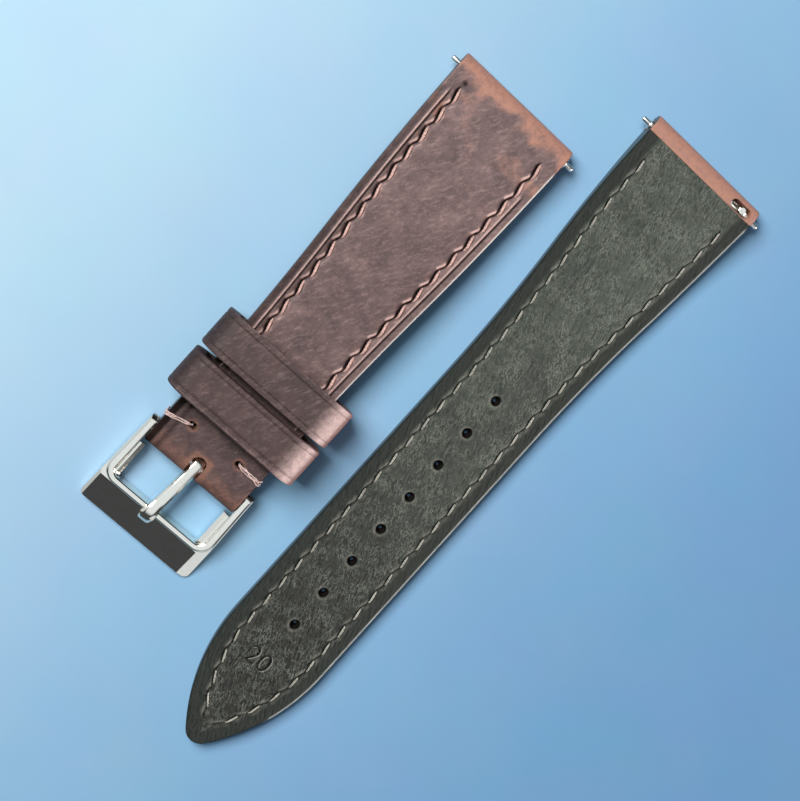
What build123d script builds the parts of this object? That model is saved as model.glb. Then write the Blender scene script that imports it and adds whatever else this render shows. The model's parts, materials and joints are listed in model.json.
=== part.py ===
from build123d import *
import os
from math import asin, cos, degrees, hypot, sin, sqrt

# A two-piece leather watch strap. Its halves lie side by side on a table, lug ends towards +Y:
# the buckle half brown side up with its keepers on, the long half lining up.
# X runs across the strap and Z up. The origin is on the table, midway between the two halves.
# A place along a half is s, from its lug end, and h, above its lower face.

# Strap, in mm
lug_width = 20.0
end_width = 16.0
long_length = 110.0
short_length = 69.0
long_taper = 46.0
short_taper = 60.0
half_spacing = 25.6  # from one half's axis to the other's
lug_step = 12.2  # how much further the long half's lug end lies towards +Y
overrun = 1.0  # what a cut runs past the faces it opens
pick = 0.15  # how near a face its edges are looked for
straight_area = 0.0004  # in mm2, below which three points count as one line

# Leather
upper_t = 1.0
lining_t = 1.0
body_t = 2.4  # the buckle half's upper, filler and lining together
pad_run = 20.0  # where the padding by the lugs has thinned out
long_filler_end = 18.0  # the long half's filler is the padding alone
filler_clear = 0.15  # between the filler and a bar's loop
band = 2.7  # the upper's turned end on the lining side, measured from the lug end
glue_gap = 0.02
arch_r = 400.0  # the buckle half's own bend
fold_lift = 0.4  # the folded end above the table

# Tip of the long half
tip_side_r = 29.0
tip_nose_r = 2.1

# Buckle holes
hole_count = 8
hole_r = 0.75
hole_pitch = 6.1
first_hole = 45.0

# Stitching
row_inset = 2.4
groove_w = 1.0
groove_depth = 0.35
stitch_pitch = 3.35
stitch_w = 0.5
stitch_t = 0.28
stitch_share = 0.8  # of the pitch that shows
stitch_slant = 0.24  # how far a stitch's ends lie each side of the row
stitch_lift = 0.012
short_row_start = 4.8
long_row_start = 6.2

# Whipped tacks beside the buckle
tack_from_fold = 6.0
tack_inset = 3.8
tack_skew = 1.0
tack_thread = 0.4
tack_strands = 2
tack_gap = 0.06
tack_hole = 0.9

# Keepers
keeper_length = 6.0
keeper_t = 1.8
keeper_under_t = 1.2
keeper_ease = 1.35  # inside a keeper, on each side of the strap's end width
keeper_room = 2.7  # free height for the long half over the buckle half
keeper_bend_r = 3.0
keeper_edge = 0.35
keeper_slack = 0.4  # under the strap, in the sliding keeper
keeper_gap = 0.8  # between the two keepers
keeper_from_fold = 8.8
sewn_t = 0.5  # the fixed keeper's end, skived where the fold holds it

# Quick-release bars in the lug ends
bar_r = 0.8
bar_wall = 0.2
bar_fit = 0.05
bar_inset = 0.1  # the tube's ends in from the strap's sides
tip_r = 0.4
plunger_play = 0.04
fixed_shoulder = 0.6
fixed_tip_out = 1.6  # past the strap's side
release_tip_out = 1.3
release_travel = 1.4
knob_inset = 2.3  # from the strap's side to the knob's axis
knob_r = 0.65
knob_t = 0.6
knob_recess = 0.15
post_r = 0.28
post_play = 0.07
notch_w = 1.5
notch_length = 3.5
notch_inset = 1.0
plunger_length = 2.9
fixed_plug = 2.3
spring_wall = 0.15
spring_play = 0.04
spring_sides = 12  # a closed-up spring is a sleeve here

# Buckle
frame_over = 1.2  # past the strap's end width, on each side
frame_t = 2.3
frame_rear = 2.0  # past the bar's axis, towards the keepers
frame_front = 13.5  # past the bar's axis, towards the front
frame_corner_r = 0.5
frame_ear_r = 1.1
frame_side_r = 0.6
rim_side = 2.05  # from the frame's side to its window
window_front = 8.2
window_corner_r = 1.0
rim_w = 1.0
rim_step = 0.15
lip_t = 0.95  # height of the front plate's outer edge
arm_play = 0.15
fold_play = 0.6
buckle_tip_r = 0.4
buckle_tip_play = 0.05
buckle_tip_in = 0.75  # how deep a tip sits in its arm
buckle_tip_travel = 0.85
buckle_bar_wall = 0.12
buckle_bar_cap = 0.3
buckle_plunger = 0.7

# Tang
tang_w = 1.8
tang_t = 1.0
tang_eye_t = 0.55
tang_past_rim = 1.15
tang_play = 0.05
tang_rim_share = 0.9  # of its thickness, over the rim
tang_nose_share = 0.5  # of its thickness, at the nose
tang_root_share = 0.5  # of the eye's radius, under the blade's root
tang_edge_r = 0.22
tang_slot_w = 2.2
tang_slot_depth = 3.4

# What follows from those
half_x = half_spacing / 2
long_body_t = upper_t + lining_t
keeper_inner_w = end_width + 2 * keeper_ease
bar_half = lug_width / 2 - bar_inset
fixed_tip_end = lug_width / 2 + fixed_tip_out
release_tip_end = lug_width / 2 + release_tip_out
frame_width = end_width + 2 * frame_over
window_width = frame_width - 2 * rim_side
long_lug_y = long_length / 2
short_lug_y = long_lug_y - lug_step
bore_r = bar_r + bar_fit
loop_r = bore_r + upper_t
loop_t = 2 * loop_r
fold_bore_r = (body_t - upper_t) / 2
buckle_bar_r = fold_bore_r - bar_fit
fold_r = fold_bore_r + upper_t
fold_s = short_length - fold_r
fold_h = body_t - fold_r
tail_under = fold_h - fold_r
tip_length = sqrt((tip_side_r - tip_nose_r) ** 2 - (tip_side_r - end_width / 2) ** 2) + tip_nose_r
tip_s = long_length - tip_length
fixed_keeper_s = short_length - keeper_from_fold - keeper_length / 2
sliding_keeper_s = fixed_keeper_s - keeper_gap - keeper_length
short_row_end = sliding_keeper_s + keeper_length / 2
tail_s = fixed_keeper_s - keeper_length / 2
filler_s = loop_r + bore_r + filler_clear
across = Vector(1, 0, 0)

# The arch puts the lug loop on the table and the folded end fold_lift above it
arch_run = fold_s - loop_r
arch_rise = fold_lift - tail_under
arch_s = loop_r + arch_run / 2 + arch_r * arch_rise / arch_run
arch_turn = (arch_s - loop_r) / arch_r
arch_z = loop_r - (arch_r + loop_r) * cos(arch_turn)
arch_y = short_lug_y - (arch_r + loop_r) * sin(arch_s / arch_r)


# A point of the buckle half's middle plane
def arched(s, h):
    turn = (s - arch_s) / arch_r
    reach = arch_r + h
    return Vector(-half_x, arch_y - reach * sin(turn), arch_z + reach * cos(turn))


# A point of the long half's middle plane
def flat(s, h):
    return Vector(half_x, long_lug_y - s, h)


# Height of a half's upper face: thick over the bar, thinned to its body at pad_run
def thickness(body):
    return lambda s: body + (loop_t - body) * max(0, (pad_run - s) / (pad_run - loop_r)) ** 2


def below(face, depth):
    return lambda s: face(s) - depth


def level(h):
    return lambda s: h


short_top = thickness(body_t)
long_top = thickness(long_body_t)


# Half the strap's width at s, by two tangent curves from the lug width to the end width
def half_width(s, taper):
    share = min(max(s / taper, 0), 1)
    drop = 2 * share**2 if share < 0.5 else 1 - 2 * (1 - share) ** 2
    return (lug_width - (lug_width - end_width) * drop) / 2


# The same for the long half, with its pointed tip, at an inset from the edge
def long_edge(s, inset=0):
    if s < tip_s:
        return half_width(s, long_taper) - inset
    return sqrt((tip_side_r - inset) ** 2 - (s - tip_s) ** 2) - (tip_side_r - end_width / 2)


def short_edge(s, inset=0):
    return half_width(s, short_taper) - inset


def curve(start, middle, end):
    straight = (middle - start).cross(end - start).length < straight_area
    return Line(start, end) if straight else ThreePointArc(start, middle, end)


# One run of a profile from s0 to s1 at a height that depends on s
def run(at, s0, s1, height):
    return curve(*(at(s, height(s)) for s in (s0, (s0 + s1) / 2, s1)))


# Where every layer is divided, so that the layers' curves are the same
layer_cuts = (band, filler_s, long_filler_end, pad_run)


# A layer of a half from s0 to s1, between two heights
def strip(at, s0, s1, low, high):
    cuts = [s0, *(s for s in layer_cuts if s0 < s < s1), s1]
    spans = []
    for a, b in zip(cuts, cuts[1:]):
        edges = [run(at, a, b, low), Line(at(b, low(b)), at(b, high(b)))]
        edges += [run(at, b, a, high), Line(at(a, high(a)), at(a, low(a)))]
        spans.append(slab(Face(Wire(edges))))
    return spans


# Half a ring round the bar at (s, h), open towards the strap; side is -1 at a lug and 1 at the fold
def half_ring(at, s, h, inner, outer, side):
    edges = [ThreePointArc(at(s, h - r), at(s + side * r, h), at(s, h + r)) for r in (inner, outer)]
    edges += [Line(at(s, h + sign * inner), at(s, h + sign * outer)) for sign in (-1, 1)]
    return slab(Face(Wire(edges)))


# A profile in the strap's middle plane made a slab as wide as the lugs
def slab(face):
    return extrude(face, amount=lug_width, dir=across, both=True)


# Edge curves on the +X side of a plan, from the lug end, at an inset from the strap's edge
def side_path(edge, stations, inset):
    points = [Vector(edge(s, inset), -s, 0) for s in stations]
    return [curve(*points[i : i + 3]) for i in range(0, len(points) - 2, 2)], points[0], points[-1]


def taper_stations(taper):
    return [taper * share for share in (0, 0.25, 0.5, 0.75, 1)]


# A plan face on the +X side, closed along the axis, mirrored to the whole plan and made a tall prism
def plan_prism(edges, lug_y, x):
    half = Face(Wire(edges))
    tall = 2 * (loop_t + overrun)
    prism = extrude(half, amount=tall, dir=Vector(0, 0, 1), both=True)
    return Pos(x, lug_y, 0) * (prism + mirror(prism, about=Plane.YZ))


def closed_plan(path, first, last, end_y):
    edges = [Line((0, overrun), (first.X, overrun)), Line((first.X, overrun), first), *path]
    edges += [Line(last, (last.X, end_y)), Line((last.X, end_y), (0, end_y))]
    return edges + [Line((0, end_y), (0, overrun))]


def short_plan():
    path, first, last = side_path(short_edge, taper_stations(short_taper), 0)
    return plan_prism(closed_plan(path, first, last, -short_length - overrun), short_lug_y, -half_x)


def long_plan():
    path, first, last = side_path(long_edge, taper_stations(long_taper), 0)
    share = tip_side_r / (tip_side_r - tip_nose_r)
    centre_x = end_width / 2 - tip_side_r
    meet = Vector(centre_x * (1 - share), -tip_s - share * (tip_length - tip_nose_r), 0)
    middle_s = tip_s + (tip_length - tip_nose_r) / 2
    nose = Vector(0, -long_length, 0)
    turn = (meet - Vector(0, nose.Y + tip_nose_r, 0)).normalized() + Vector(0, -1, 0)
    nose_middle = Vector(0, nose.Y + tip_nose_r, 0) + turn.normalized() * tip_nose_r
    corner = Vector(end_width / 2, -tip_s, 0)
    edges = [Line((0, overrun), (first.X, overrun)), Line((first.X, overrun), first), *path]
    edges += [Line(last, corner), ThreePointArc(corner, Vector(long_edge(middle_s), -middle_s, 0), meet)]
    edges += [ThreePointArc(meet, nose_middle, nose), Line(nose, (0, overrun))]
    return plan_prism(edges, long_lug_y, half_x)


# Where a stitch row starts and ends, with the stations that its curves need between
def row_stations(edge, taper, start, end):
    inner = [s for s in (taper / 2, taper, tip_s if edge is long_edge else end) if start < s < end]
    marks = [start, *inner, end]
    stations = [start]
    for a, b in zip(marks, marks[1:]):
        stations += [(a + b) / 2, b]
    return stations


# The groove that a stitch row lies in, cut into the strap's upper face on both sides of its axis
def groove(half, start, stop):
    at, edge, taper, face, x, lug_y = half
    near, far = row_inset - groove_w / 2, row_inset + groove_w / 2
    outer, a0, a1 = side_path(edge, row_stations(edge, taper, start, stop(near)), near)
    inner, b0, b1 = side_path(edge, row_stations(edge, taper, start, stop(far)), far)
    ring = plan_prism([*outer, *inner, Line(a0, b0), Line(a1, b1)], lug_y, x)
    end = max(-a1.Y, -b1.Y)
    return ring & (Part() + strip(at, start, end, below(face, groove_depth), below(face, -overrun)))


# The stitch centres of one row: (s, x) pairs a pitch apart along the row
def row_points(edge, start, end):
    points, s = [], start
    while s < end:
        x = edge(s, row_inset)
        slope = (edge(s + stitch_w, row_inset) - x) / stitch_w
        points.append((s, x))
        s += stitch_pitch / hypot(1, slope)
    return points


# One stitch: a flat thread lying in its groove at a slant
def stitch(at, here, there, side, face):
    a, b = (at(s, face(s) - groove_depth) + across * (side * x) for s, x in (here, there))
    along = (b - a).normalized()
    normal = across.cross(along).normalized()
    if normal.Z < 0:
        normal = normal * -1
    length = stitch_pitch * stitch_share
    turned = (along + across * (2 * side * stitch_slant / length)).normalized()
    plane = Plane(origin=(a + b) / 2 + normal * stitch_lift, x_dir=turned, z_dir=normal)
    return plane * Box(length, stitch_w, stitch_t, align=(Align.CENTER, Align.CENTER, Align.MIN))


# The stitches of one row, on the sides of the axis that are given
def stitches(half, start, end, sides):
    at, edge, _, face, _, _ = half
    points = row_points(edge, start, end)
    return Compound([stitch(at, a, b, side, face) for side in sides for a, b in zip(points, points[1:])])


# Plane across the strap at (s, h), with its Z out of the upper face and its Y towards the lug
def seat(at, s, h):
    here, above = at(s, h), at(s, h + overrun)
    return Plane(origin=here, x_dir=across, z_dir=above - here)


# A cylinder along X from x0 to x1, round the axis of a bar
def rod(r, x0, x1):
    low, high = sorted((x0, x1))
    return Plane.YZ.offset(low) * Cylinder(r, high - low, align=(Align.CENTER, Align.CENTER, Align.MIN))


def save(name, shape):
    export_step(shape, f"parts/{name}.step")


# What the two halves' rows are laid out by: place, edge, taper, upper face, axis and lug end
short_half = (arched, short_edge, short_taper, short_top, -half_x, short_lug_y)
long_half = (flat, long_edge, long_taper, long_top, half_x, long_lug_y)

# Leather of the buckle half
tack_s = short_length - tack_from_fold


def tack_holes():
    plane = seat(arched, tack_s, 0)
    x = end_width / 2 - tack_inset
    tall = 2 * (body_t + upper_t)
    return [plane * Pos(side * x, 0, 0) * Box(tack_hole, tack_hole, tall) for side in (-1, 1)]


def tang_slot():
    plane = seat(arched, fold_s, fold_h)
    rear = fold_s - (short_length - tang_slot_depth)
    length = rear + fold_r + overrun
    shape = Pos(0, rear - length / 2, 0) * Box(tang_slot_w, length, 2 * fold_r + overrun)
    round_end = Pos(0, rear, 0) * Cylinder(tang_slot_w / 2, 2 * fold_r + overrun)
    return plane * (shape + round_end)


def release_notch(at, side, up):
    x = side * (lug_width / 2 - notch_inset - notch_length / 2)
    shape = extrude(SlotOverall(notch_length, notch_w), amount=loop_r + overrun)
    return seat(at, loop_r, loop_r) * Pos(x, 0, 0) * (Rot(X=180) * shape if up < 0 else shape)


def short_row_stop(inset):
    return short_row_end + stitch_w


def short_upper():
    body = strip(arched, loop_r, fold_s, below(short_top, upper_t), short_top)
    body += strip(arched, loop_r, band, level(0), level(upper_t))
    body += [half_ring(arched, loop_r, loop_r, bore_r, loop_r, -1)]
    body += [half_ring(arched, fold_s, fold_h, fold_bore_r, fold_r, 1)]
    thick_s = fixed_keeper_s + keeper_length / 2 + keeper_edge
    body += strip(arched, thick_s, fold_s, level(tail_under), level(tail_under + upper_t))
    body += strip(arched, tail_s, thick_s, level(tail_under), level(-sewn_t - 2 * glue_gap))
    leather = (Part() + body) & short_plan()
    leather = leather - tack_holes() - tang_slot() - release_notch(arched, -1, -1)
    return leather - groove(short_half, short_row_start - stitch_w, short_row_stop)


def short_inner(low, high, start):
    end = fold_s - fold_bore_r - filler_clear
    layer = (Part() + strip(arched, start, end, low, high)) & short_plan()
    return layer - tack_holes() - tang_slot()


def short_filler():
    return short_inner(level(lining_t), below(short_top, upper_t), filler_s)


def short_lining():
    return short_inner(level(0), level(lining_t), band)


# Leather of the long half
def buckle_holes():
    tall = 2 * (loop_t + overrun)
    places = [flat(first_hole + i * hole_pitch, 0) for i in range(hole_count)]
    return [Pos(*place) * Cylinder(hole_r, tall) for place in places]


# Where a row at an inset reaches the strap's axis, round the tip
def long_row_stop(inset):
    return tip_s + sqrt((tip_side_r - inset) ** 2 - (tip_side_r - end_width / 2) ** 2)


def long_upper():
    body = strip(flat, loop_r, long_length, level(0), level(upper_t))
    body += strip(flat, loop_r, band, below(long_top, upper_t), long_top)
    body += [half_ring(flat, loop_r, loop_r, bore_r, loop_r, -1)]
    leather = (Part() + body) & long_plan()
    return leather - buckle_holes() - release_notch(flat, 1, 1)


def long_filler():
    padding = strip(flat, filler_s, long_filler_end, level(upper_t), below(long_top, lining_t))
    return (Part() + padding) & long_plan()


def long_lining():
    body = strip(flat, band, long_filler_end, below(long_top, lining_t), long_top)
    body += strip(flat, long_filler_end, long_length, level(upper_t), long_top)
    lining = ((Part() + body) & long_plan()) - buckle_holes()
    return lining - groove(long_half, long_row_start - stitch_w, long_row_stop)


# Threads
def short_stitching(side):
    return stitches(short_half, short_row_start, short_row_end, [side])


def long_stitching():
    return stitches(long_half, long_row_start, long_row_stop(row_inset), [-1, 1])


# Strands whipped from a hole over the strap's edge, which hold the folded end
def edge_tack(side):
    hole_x = end_width / 2 - tack_inset
    edge_x = end_width / 2 + tack_gap
    out_x = edge_x + tack_thread
    low, high = tail_under - tack_gap, body_t + tack_gap
    tall = high - low + 2 * tack_thread
    strands = []
    for i in range(tack_strands):
        y = tack_thread * i - tack_strands * tack_thread / 2
        inner = [(hole_x, y + tack_thread), (hole_x, y)]
        outer = [(out_x, y - tack_skew), (out_x, y - tack_skew + tack_thread)]
        leg = make_face(Polyline(*inner, *outer, close=True))
        strands.append(Pos(0, 0, high) * extrude(leg, amount=tack_thread))
        strands.append(Pos(0, 0, low - tack_thread) * extrude(leg, amount=tack_thread))
    depth = tack_strands * tack_thread
    middle = (low + high) / 2
    strands.append(Pos((edge_x + out_x) / 2, -tack_skew, middle) * Box(tack_thread, depth, tall))
    core = tack_hole - 2 * tack_gap
    thread = Part() + strands + Pos(hole_x, 0, middle) * Box(core, core, tall)
    return seat(arched, tack_s, 0) * (mirror(thread, about=Plane.YZ) if side < 0 else thread)


# Keepers: a leather loop round the strap, its section drawn in XZ over the strap's lower face
def keeper(inner_low, outer_low):
    inner_high = body_t + keeper_room
    outer_high = inner_high + keeper_t
    outer_w = keeper_inner_w + 2 * keeper_t
    outer = RectangleRounded(outer_w, outer_high - outer_low, keeper_bend_r)
    inner = RectangleRounded(keeper_inner_w, inner_high - inner_low, keeper_bend_r - keeper_t)
    section = Pos(0, (outer_low + outer_high) / 2) * outer - Pos(0, (inner_low + inner_high) / 2) * inner
    loop = extrude(Plane.XZ * section, amount=keeper_length / 2, both=True)
    ends = [e for e in loop.edges() if abs(abs(e.center().Y) - keeper_length / 2) < pick]
    return chamfer([e for e in ends if outside(e)], keeper_edge)


# Whether a rim edge is on the loop's outside, where it stands clear of the strap's lower face
def outside(edge):
    box = edge.bounding_box()
    at_side = max(abs(box.min.X), abs(box.max.X)) > (keeper_inner_w + keeper_t) / 2
    at_top = box.max.Z > body_t + keeper_room + keeper_t / 2
    return (at_side or at_top) and box.min.Z > 0


def fixed_keeper():
    return seat(arched, fixed_keeper_s, -glue_gap) * keeper(0, -sewn_t)


def sliding_keeper():
    here = arched(sliding_keeper_s, 0)
    return Pos(*here) * keeper(-keeper_slack, -keeper_slack - keeper_under_t)


# Spring bars, round X, built with the axis through the origin
def bar_tube(r, wall, half):
    return rod(r, -half, half) - rod(r - wall, -half - overrun, half + overrun)


def bar_spring(r, x0, x1):
    outer, inner = r - spring_play, r - spring_play - spring_wall
    ring = RegularPolygon(outer, spring_sides) - RegularPolygon(inner, spring_sides)
    return extrude(Plane.YZ.offset(x0) * ring, amount=x1 - x0)


bar_in_r = bar_r - bar_wall
knob_x = lug_width / 2 - knob_inset
post_end = loop_r - knob_recess


# The tube with the slot that its knob's post runs in
def release_bar_tube():
    low, high = knob_x - release_travel - post_r - post_play, knob_x + post_r + post_play
    slot = Pos((low + high) / 2, 0, bar_r / 2) * Box(high - low, 2 * (post_r + post_play), bar_r)
    return bar_tube(bar_r, bar_wall, bar_half) - slot


def release_bar_fixed_tip():
    plug = rod(bar_in_r, fixed_plug - bar_half, -bar_half - fixed_shoulder)
    return plug + rod(tip_r, -bar_half - fixed_shoulder, -fixed_tip_end)


def release_bar_pin():
    plunger = rod(bar_in_r - plunger_play, bar_half - plunger_length, bar_half)
    socket = Pos(knob_x, 0, bar_in_r / 2) * Cylinder(post_r, bar_in_r)
    return plunger + rod(tip_r, bar_half, release_tip_end) - socket


def release_bar_knob():
    post = Pos(knob_x, 0, post_end / 2) * Cylinder(post_r, post_end)
    disc = Pos(knob_x, 0, post_end - knob_t / 2) * Cylinder(knob_r, knob_t)
    return post + disc


def release_bar_spring():
    free_end = bar_half - plunger_length - release_travel - spring_play
    return bar_spring(bar_in_r, fixed_plug - bar_half + spring_play, free_end)


# A lug bar's pieces in their places: the release end towards side, its knob out of the lining
def save_release_bar(half, at, side, up):
    seat_plane = seat(at, loop_r, loop_r)
    turn = (Rot(Z=180) if side < 0 else Rot(0, 0, 0)) * (Rot(X=180) if up < 0 else Rot(0, 0, 0))
    pieces = {
        "tube": release_bar_tube(),
        "fixed_tip": release_bar_fixed_tip(),
        "release_pin": release_bar_pin(),
        "release_knob": release_bar_knob(),
        "spring": release_bar_spring(),
    }
    for name, piece in pieces.items():
        save(f"{half}_bar_{name}", seat_plane * turn * piece)


# Buckle, built flat with the bar's axis through the origin and its front towards -Y
arm_in = end_width / 2 + arm_play
buckle_bar_half = arm_in - 2 * glue_gap - arm_play
buckle_in_r = buckle_bar_r - buckle_bar_wall
buckle_bar_bore = buckle_tip_r + buckle_tip_play
fold_clear = fold_r + fold_play
rim_front = window_front + rim_w


def frame_side():
    low, high = -frame_t / 2, frame_t / 2
    points = [(frame_rear, low), (-frame_front, low), (-frame_front, low + lip_t), (-rim_front, high)]
    points.append((frame_rear, high))
    return extrude(Plane.YZ * make_face(Polyline(*points, close=True)), amount=frame_width / 2, both=True)


def frame_window():
    length = window_front + frame_rear
    window = Pos(0, frame_rear - length / 2, 0) * extrude(
        RectangleRounded(window_width, length, window_corner_r), amount=frame_t, both=True
    )
    rear = frame_rear + overrun
    recess = Pos(0, (rear - fold_clear) / 2, 0) * Box(2 * arm_in, rear + fold_clear, 2 * frame_t)
    low, high = window_width / 2, arm_in
    rise = frame_t / 2
    slope = (high - low) / rise
    top_x = low + slope * (rise + overrun)
    over = rise + overrun
    wedge = make_face(Polyline((-low, 0), (low, 0), (top_x, over), (-top_x, over), close=True))
    depth = window_front - window_corner_r
    bevel = Pos(0, -depth, 0) * extrude(Plane.XZ * wedge, amount=-depth - frame_rear)
    return window + recess + bevel


# The front plate's face lies a step below the rim round the window
def plate_recess():
    low, high = lip_t - frame_t / 2, frame_t / 2
    rise = high - low
    run_out = overrun * rise / (frame_front - rim_front)
    points = [(-rim_front, high - rim_step), (-rim_front, high + overrun)]
    points += [(-frame_front - overrun, high + overrun), (-frame_front - overrun, low - rim_step - run_out)]
    return extrude(Plane.YZ * make_face(Polyline(*points, close=True)), amount=frame_width, both=True)


def buckle_frame():
    block = frame_side()
    ears = block.edges().filter_by(Axis.X).group_by(Axis.Y)[-1]
    eared = fillet(ears, frame_ear_r)
    sides = [e for e in block.edges() if abs(e.center().X) > frame_width / 2 - pick]
    above_lip = lip_t - frame_t / 2 + pick
    shoulders = [e for e in sides if e.center().Z > above_lip and e.center().Y < frame_rear - pick]
    block = fillet(shoulders, frame_side_r)
    block = fillet(block.edges().filter_by(Axis.Z).group_by(Axis.Y)[0], frame_corner_r)
    frame = (block & eared) - plate_recess() - frame_window()
    end = arm_in + buckle_tip_in + buckle_tip_play
    return frame - [rod(buckle_bar_bore, side * (arm_in - overrun), side * end) for side in (-1, 1)]


def buckle_tang():
    rim_top = frame_t / 2 + tang_play
    eye_r = buckle_bar_r + tang_play + tang_eye_t
    end_y = -rim_front - tang_past_rim
    nose_drop = (frame_t - lip_t) * tang_past_rim / (frame_front - rim_front)
    top_z = rim_top + tang_t
    points = [(0, eye_r), (-window_front, top_z), (-rim_front, rim_top + tang_t * tang_rim_share)]
    points += [(end_y, rim_top + tang_t * tang_nose_share), (end_y, rim_top - nose_drop)]
    points += [(-rim_front, rim_top), (-window_front, rim_top), (0, -eye_r * tang_root_share)]
    blade = extrude(Plane.YZ * make_face(Polyline(*points, close=True)), amount=tang_w / 2, both=True)
    ridges = [e for e in blade.edges().filter_by(Axis.X) if e.center().Z > rim_top]
    blade = fillet(ridges, tang_edge_r)
    eye = rod(eye_r, -tang_w / 2, tang_w / 2)
    hole = rod(buckle_bar_r + tang_play, -tang_w, tang_w)
    return blade + eye - hole


# The tube's capped ends hold the tips in
def buckle_bar_tube():
    bore = rod(buckle_in_r, buckle_bar_cap - buckle_bar_half, buckle_bar_half - buckle_bar_cap)
    ends = rod(buckle_bar_bore, -buckle_bar_half - overrun, buckle_bar_half + overrun)
    return rod(buckle_bar_r, -buckle_bar_half, buckle_bar_half) - bore - ends


def buckle_bar_tip(side):
    shoulder = buckle_bar_half - buckle_bar_cap
    plunger = rod(buckle_in_r - plunger_play, side * (shoulder - buckle_plunger), side * shoulder)
    tip = rod(buckle_tip_r, side * shoulder, side * (arm_in + buckle_tip_in))
    return plunger + tip


def buckle_bar_spring():
    free_end = buckle_bar_half - buckle_bar_cap - buckle_plunger - buckle_tip_travel - spring_play
    return bar_spring(buckle_in_r, -free_end, free_end)


# The buckle lies with its front edge on the table
buckle_axis = arched(fold_s, fold_h)
rest_tilt = degrees(asin((buckle_axis.Z - frame_t / 2) / frame_front))


def save_buckle():
    rest = Pos(*buckle_axis) * Rot(X=rest_tilt)
    save("buckle_frame", rest * buckle_frame())
    save("buckle_tang", rest * buckle_tang())
    save("buckle_bar_tube", rest * buckle_bar_tube())
    save("buckle_bar_tip_left", rest * buckle_bar_tip(-1))
    save("buckle_bar_tip_right", rest * buckle_bar_tip(1))
    save("buckle_bar_spring", rest * buckle_bar_spring())


def main():
    os.makedirs("parts", exist_ok=True)
    save("short_upper", short_upper())
    save("short_filler", short_filler())
    save("short_lining", short_lining())
    save("short_stitching_left", short_stitching(-1))
    save("short_stitching_right", short_stitching(1))
    save("edge_tack_left", edge_tack(-1))
    save("edge_tack_right", edge_tack(1))
    save("fixed_keeper", fixed_keeper())
    save("sliding_keeper", sliding_keeper())
    save_release_bar("short", arched, -1, -1)
    save_buckle()
    save("long_upper", long_upper())
    save("long_filler", long_filler())
    save("long_lining", long_lining())
    save("long_stitching", long_stitching())
    save_release_bar("long", flat, 1, 1)
    print("buckle axis", buckle_axis, "tilt", rest_tilt)
    print("short bar axis", arched(loop_r, loop_r), "long bar axis", flat(loop_r, loop_r))


main()
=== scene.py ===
import bisect
import json
import math
import random

import bmesh
import bpy
from mathutils import Matrix, Vector, noise

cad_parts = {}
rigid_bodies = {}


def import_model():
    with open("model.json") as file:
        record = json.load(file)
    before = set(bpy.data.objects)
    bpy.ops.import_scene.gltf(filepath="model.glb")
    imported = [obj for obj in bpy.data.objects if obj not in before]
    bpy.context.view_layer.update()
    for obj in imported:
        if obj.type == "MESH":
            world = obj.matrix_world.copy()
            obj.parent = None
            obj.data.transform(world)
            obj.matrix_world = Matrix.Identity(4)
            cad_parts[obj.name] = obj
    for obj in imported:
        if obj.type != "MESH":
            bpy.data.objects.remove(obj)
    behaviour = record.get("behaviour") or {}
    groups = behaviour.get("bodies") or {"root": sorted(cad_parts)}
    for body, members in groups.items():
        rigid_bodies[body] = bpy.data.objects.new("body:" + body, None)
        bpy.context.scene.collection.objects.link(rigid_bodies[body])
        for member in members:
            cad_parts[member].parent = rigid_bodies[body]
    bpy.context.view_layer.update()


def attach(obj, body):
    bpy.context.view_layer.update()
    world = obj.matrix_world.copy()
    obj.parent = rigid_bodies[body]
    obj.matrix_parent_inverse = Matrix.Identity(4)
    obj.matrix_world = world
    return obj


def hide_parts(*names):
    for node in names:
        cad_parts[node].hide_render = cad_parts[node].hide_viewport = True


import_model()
random.seed(11)
noise.seed_set(11)
print("frame loaded")

milli = 0.001  # shapes are drawn in millimetres and scaled once, when a piece is finished

# The strap as it was cut: sizes in millimetres
strap = {
    "lugWidth": 20.0, "endWidth": 16.0, "longLength": 110.0, "shortLength": 69.0,
    "longTaper": 46.0, "shortTaper": 60.0, "halfX": 12.8, "longLugY": 55.0, "shortLugY": 42.8,
    "upper": 1.0, "lining": 1.0, "body": 2.4, "padRun": 20.0, "band": 2.7, "barBore": 0.85,
    "bend": 400.0, "foldLift": 0.4, "tipSideR": 29.0, "tipNoseR": 2.1, "fillerEnd": 18.0, "corner": 0.23,
    "keeperFromEnd": 11.8, "keeperPitch": 6.8, "tail": 3.0, "skiveEnd": 3.35, "skived": 0.46,
}
loopR = strap["barBore"] + strap["upper"]
loopT = 2 * loopR
foldBoreR = (strap["body"] - strap["upper"]) / 2
foldR = foldBoreR + strap["upper"]
foldS, foldH = strap["shortLength"] - foldR, strap["body"] - foldR
tailUnder = foldH - foldR
fixedKeeperS = strap["shortLength"] - strap["keeperFromEnd"]
slidingKeeperS = fixedKeeperS - strap["keeperPitch"]


# Plain sums

def clamp(value, low=0.0, high=1.0):
    return min(max(value, low), high)


def ease(low, high, value):
    share = clamp((value - low) / (high - low))
    return share * share * (3 - 2 * share)


def hump(distance, width):
    return math.exp(-(distance / width) ** 2)


# Rises between the first two places and falls between the last two
def stretch(s, start, full, last, end):
    return ease(start, full, s) * (1 - ease(last, end, s))


def lerp(a, b, share):
    return a + (b - a) * share


def wander(x, s, size, seed=0.0):
    return noise.noise(Vector((x / size, s / size, seed)))


# The buckle half lies in a slow bend; s runs from its lug end and h stands on its lower face
bendRun = foldS - loopR
bendS = loopR + bendRun / 2 + strap["bend"] * (strap["foldLift"] - tailUnder) / bendRun
bendZ = loopR - (strap["bend"] + loopR) * math.cos((bendS - loopR) / strap["bend"])
bendY = strap["shortLugY"] - (strap["bend"] + loopR) * math.sin(bendS / strap["bend"])


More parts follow.
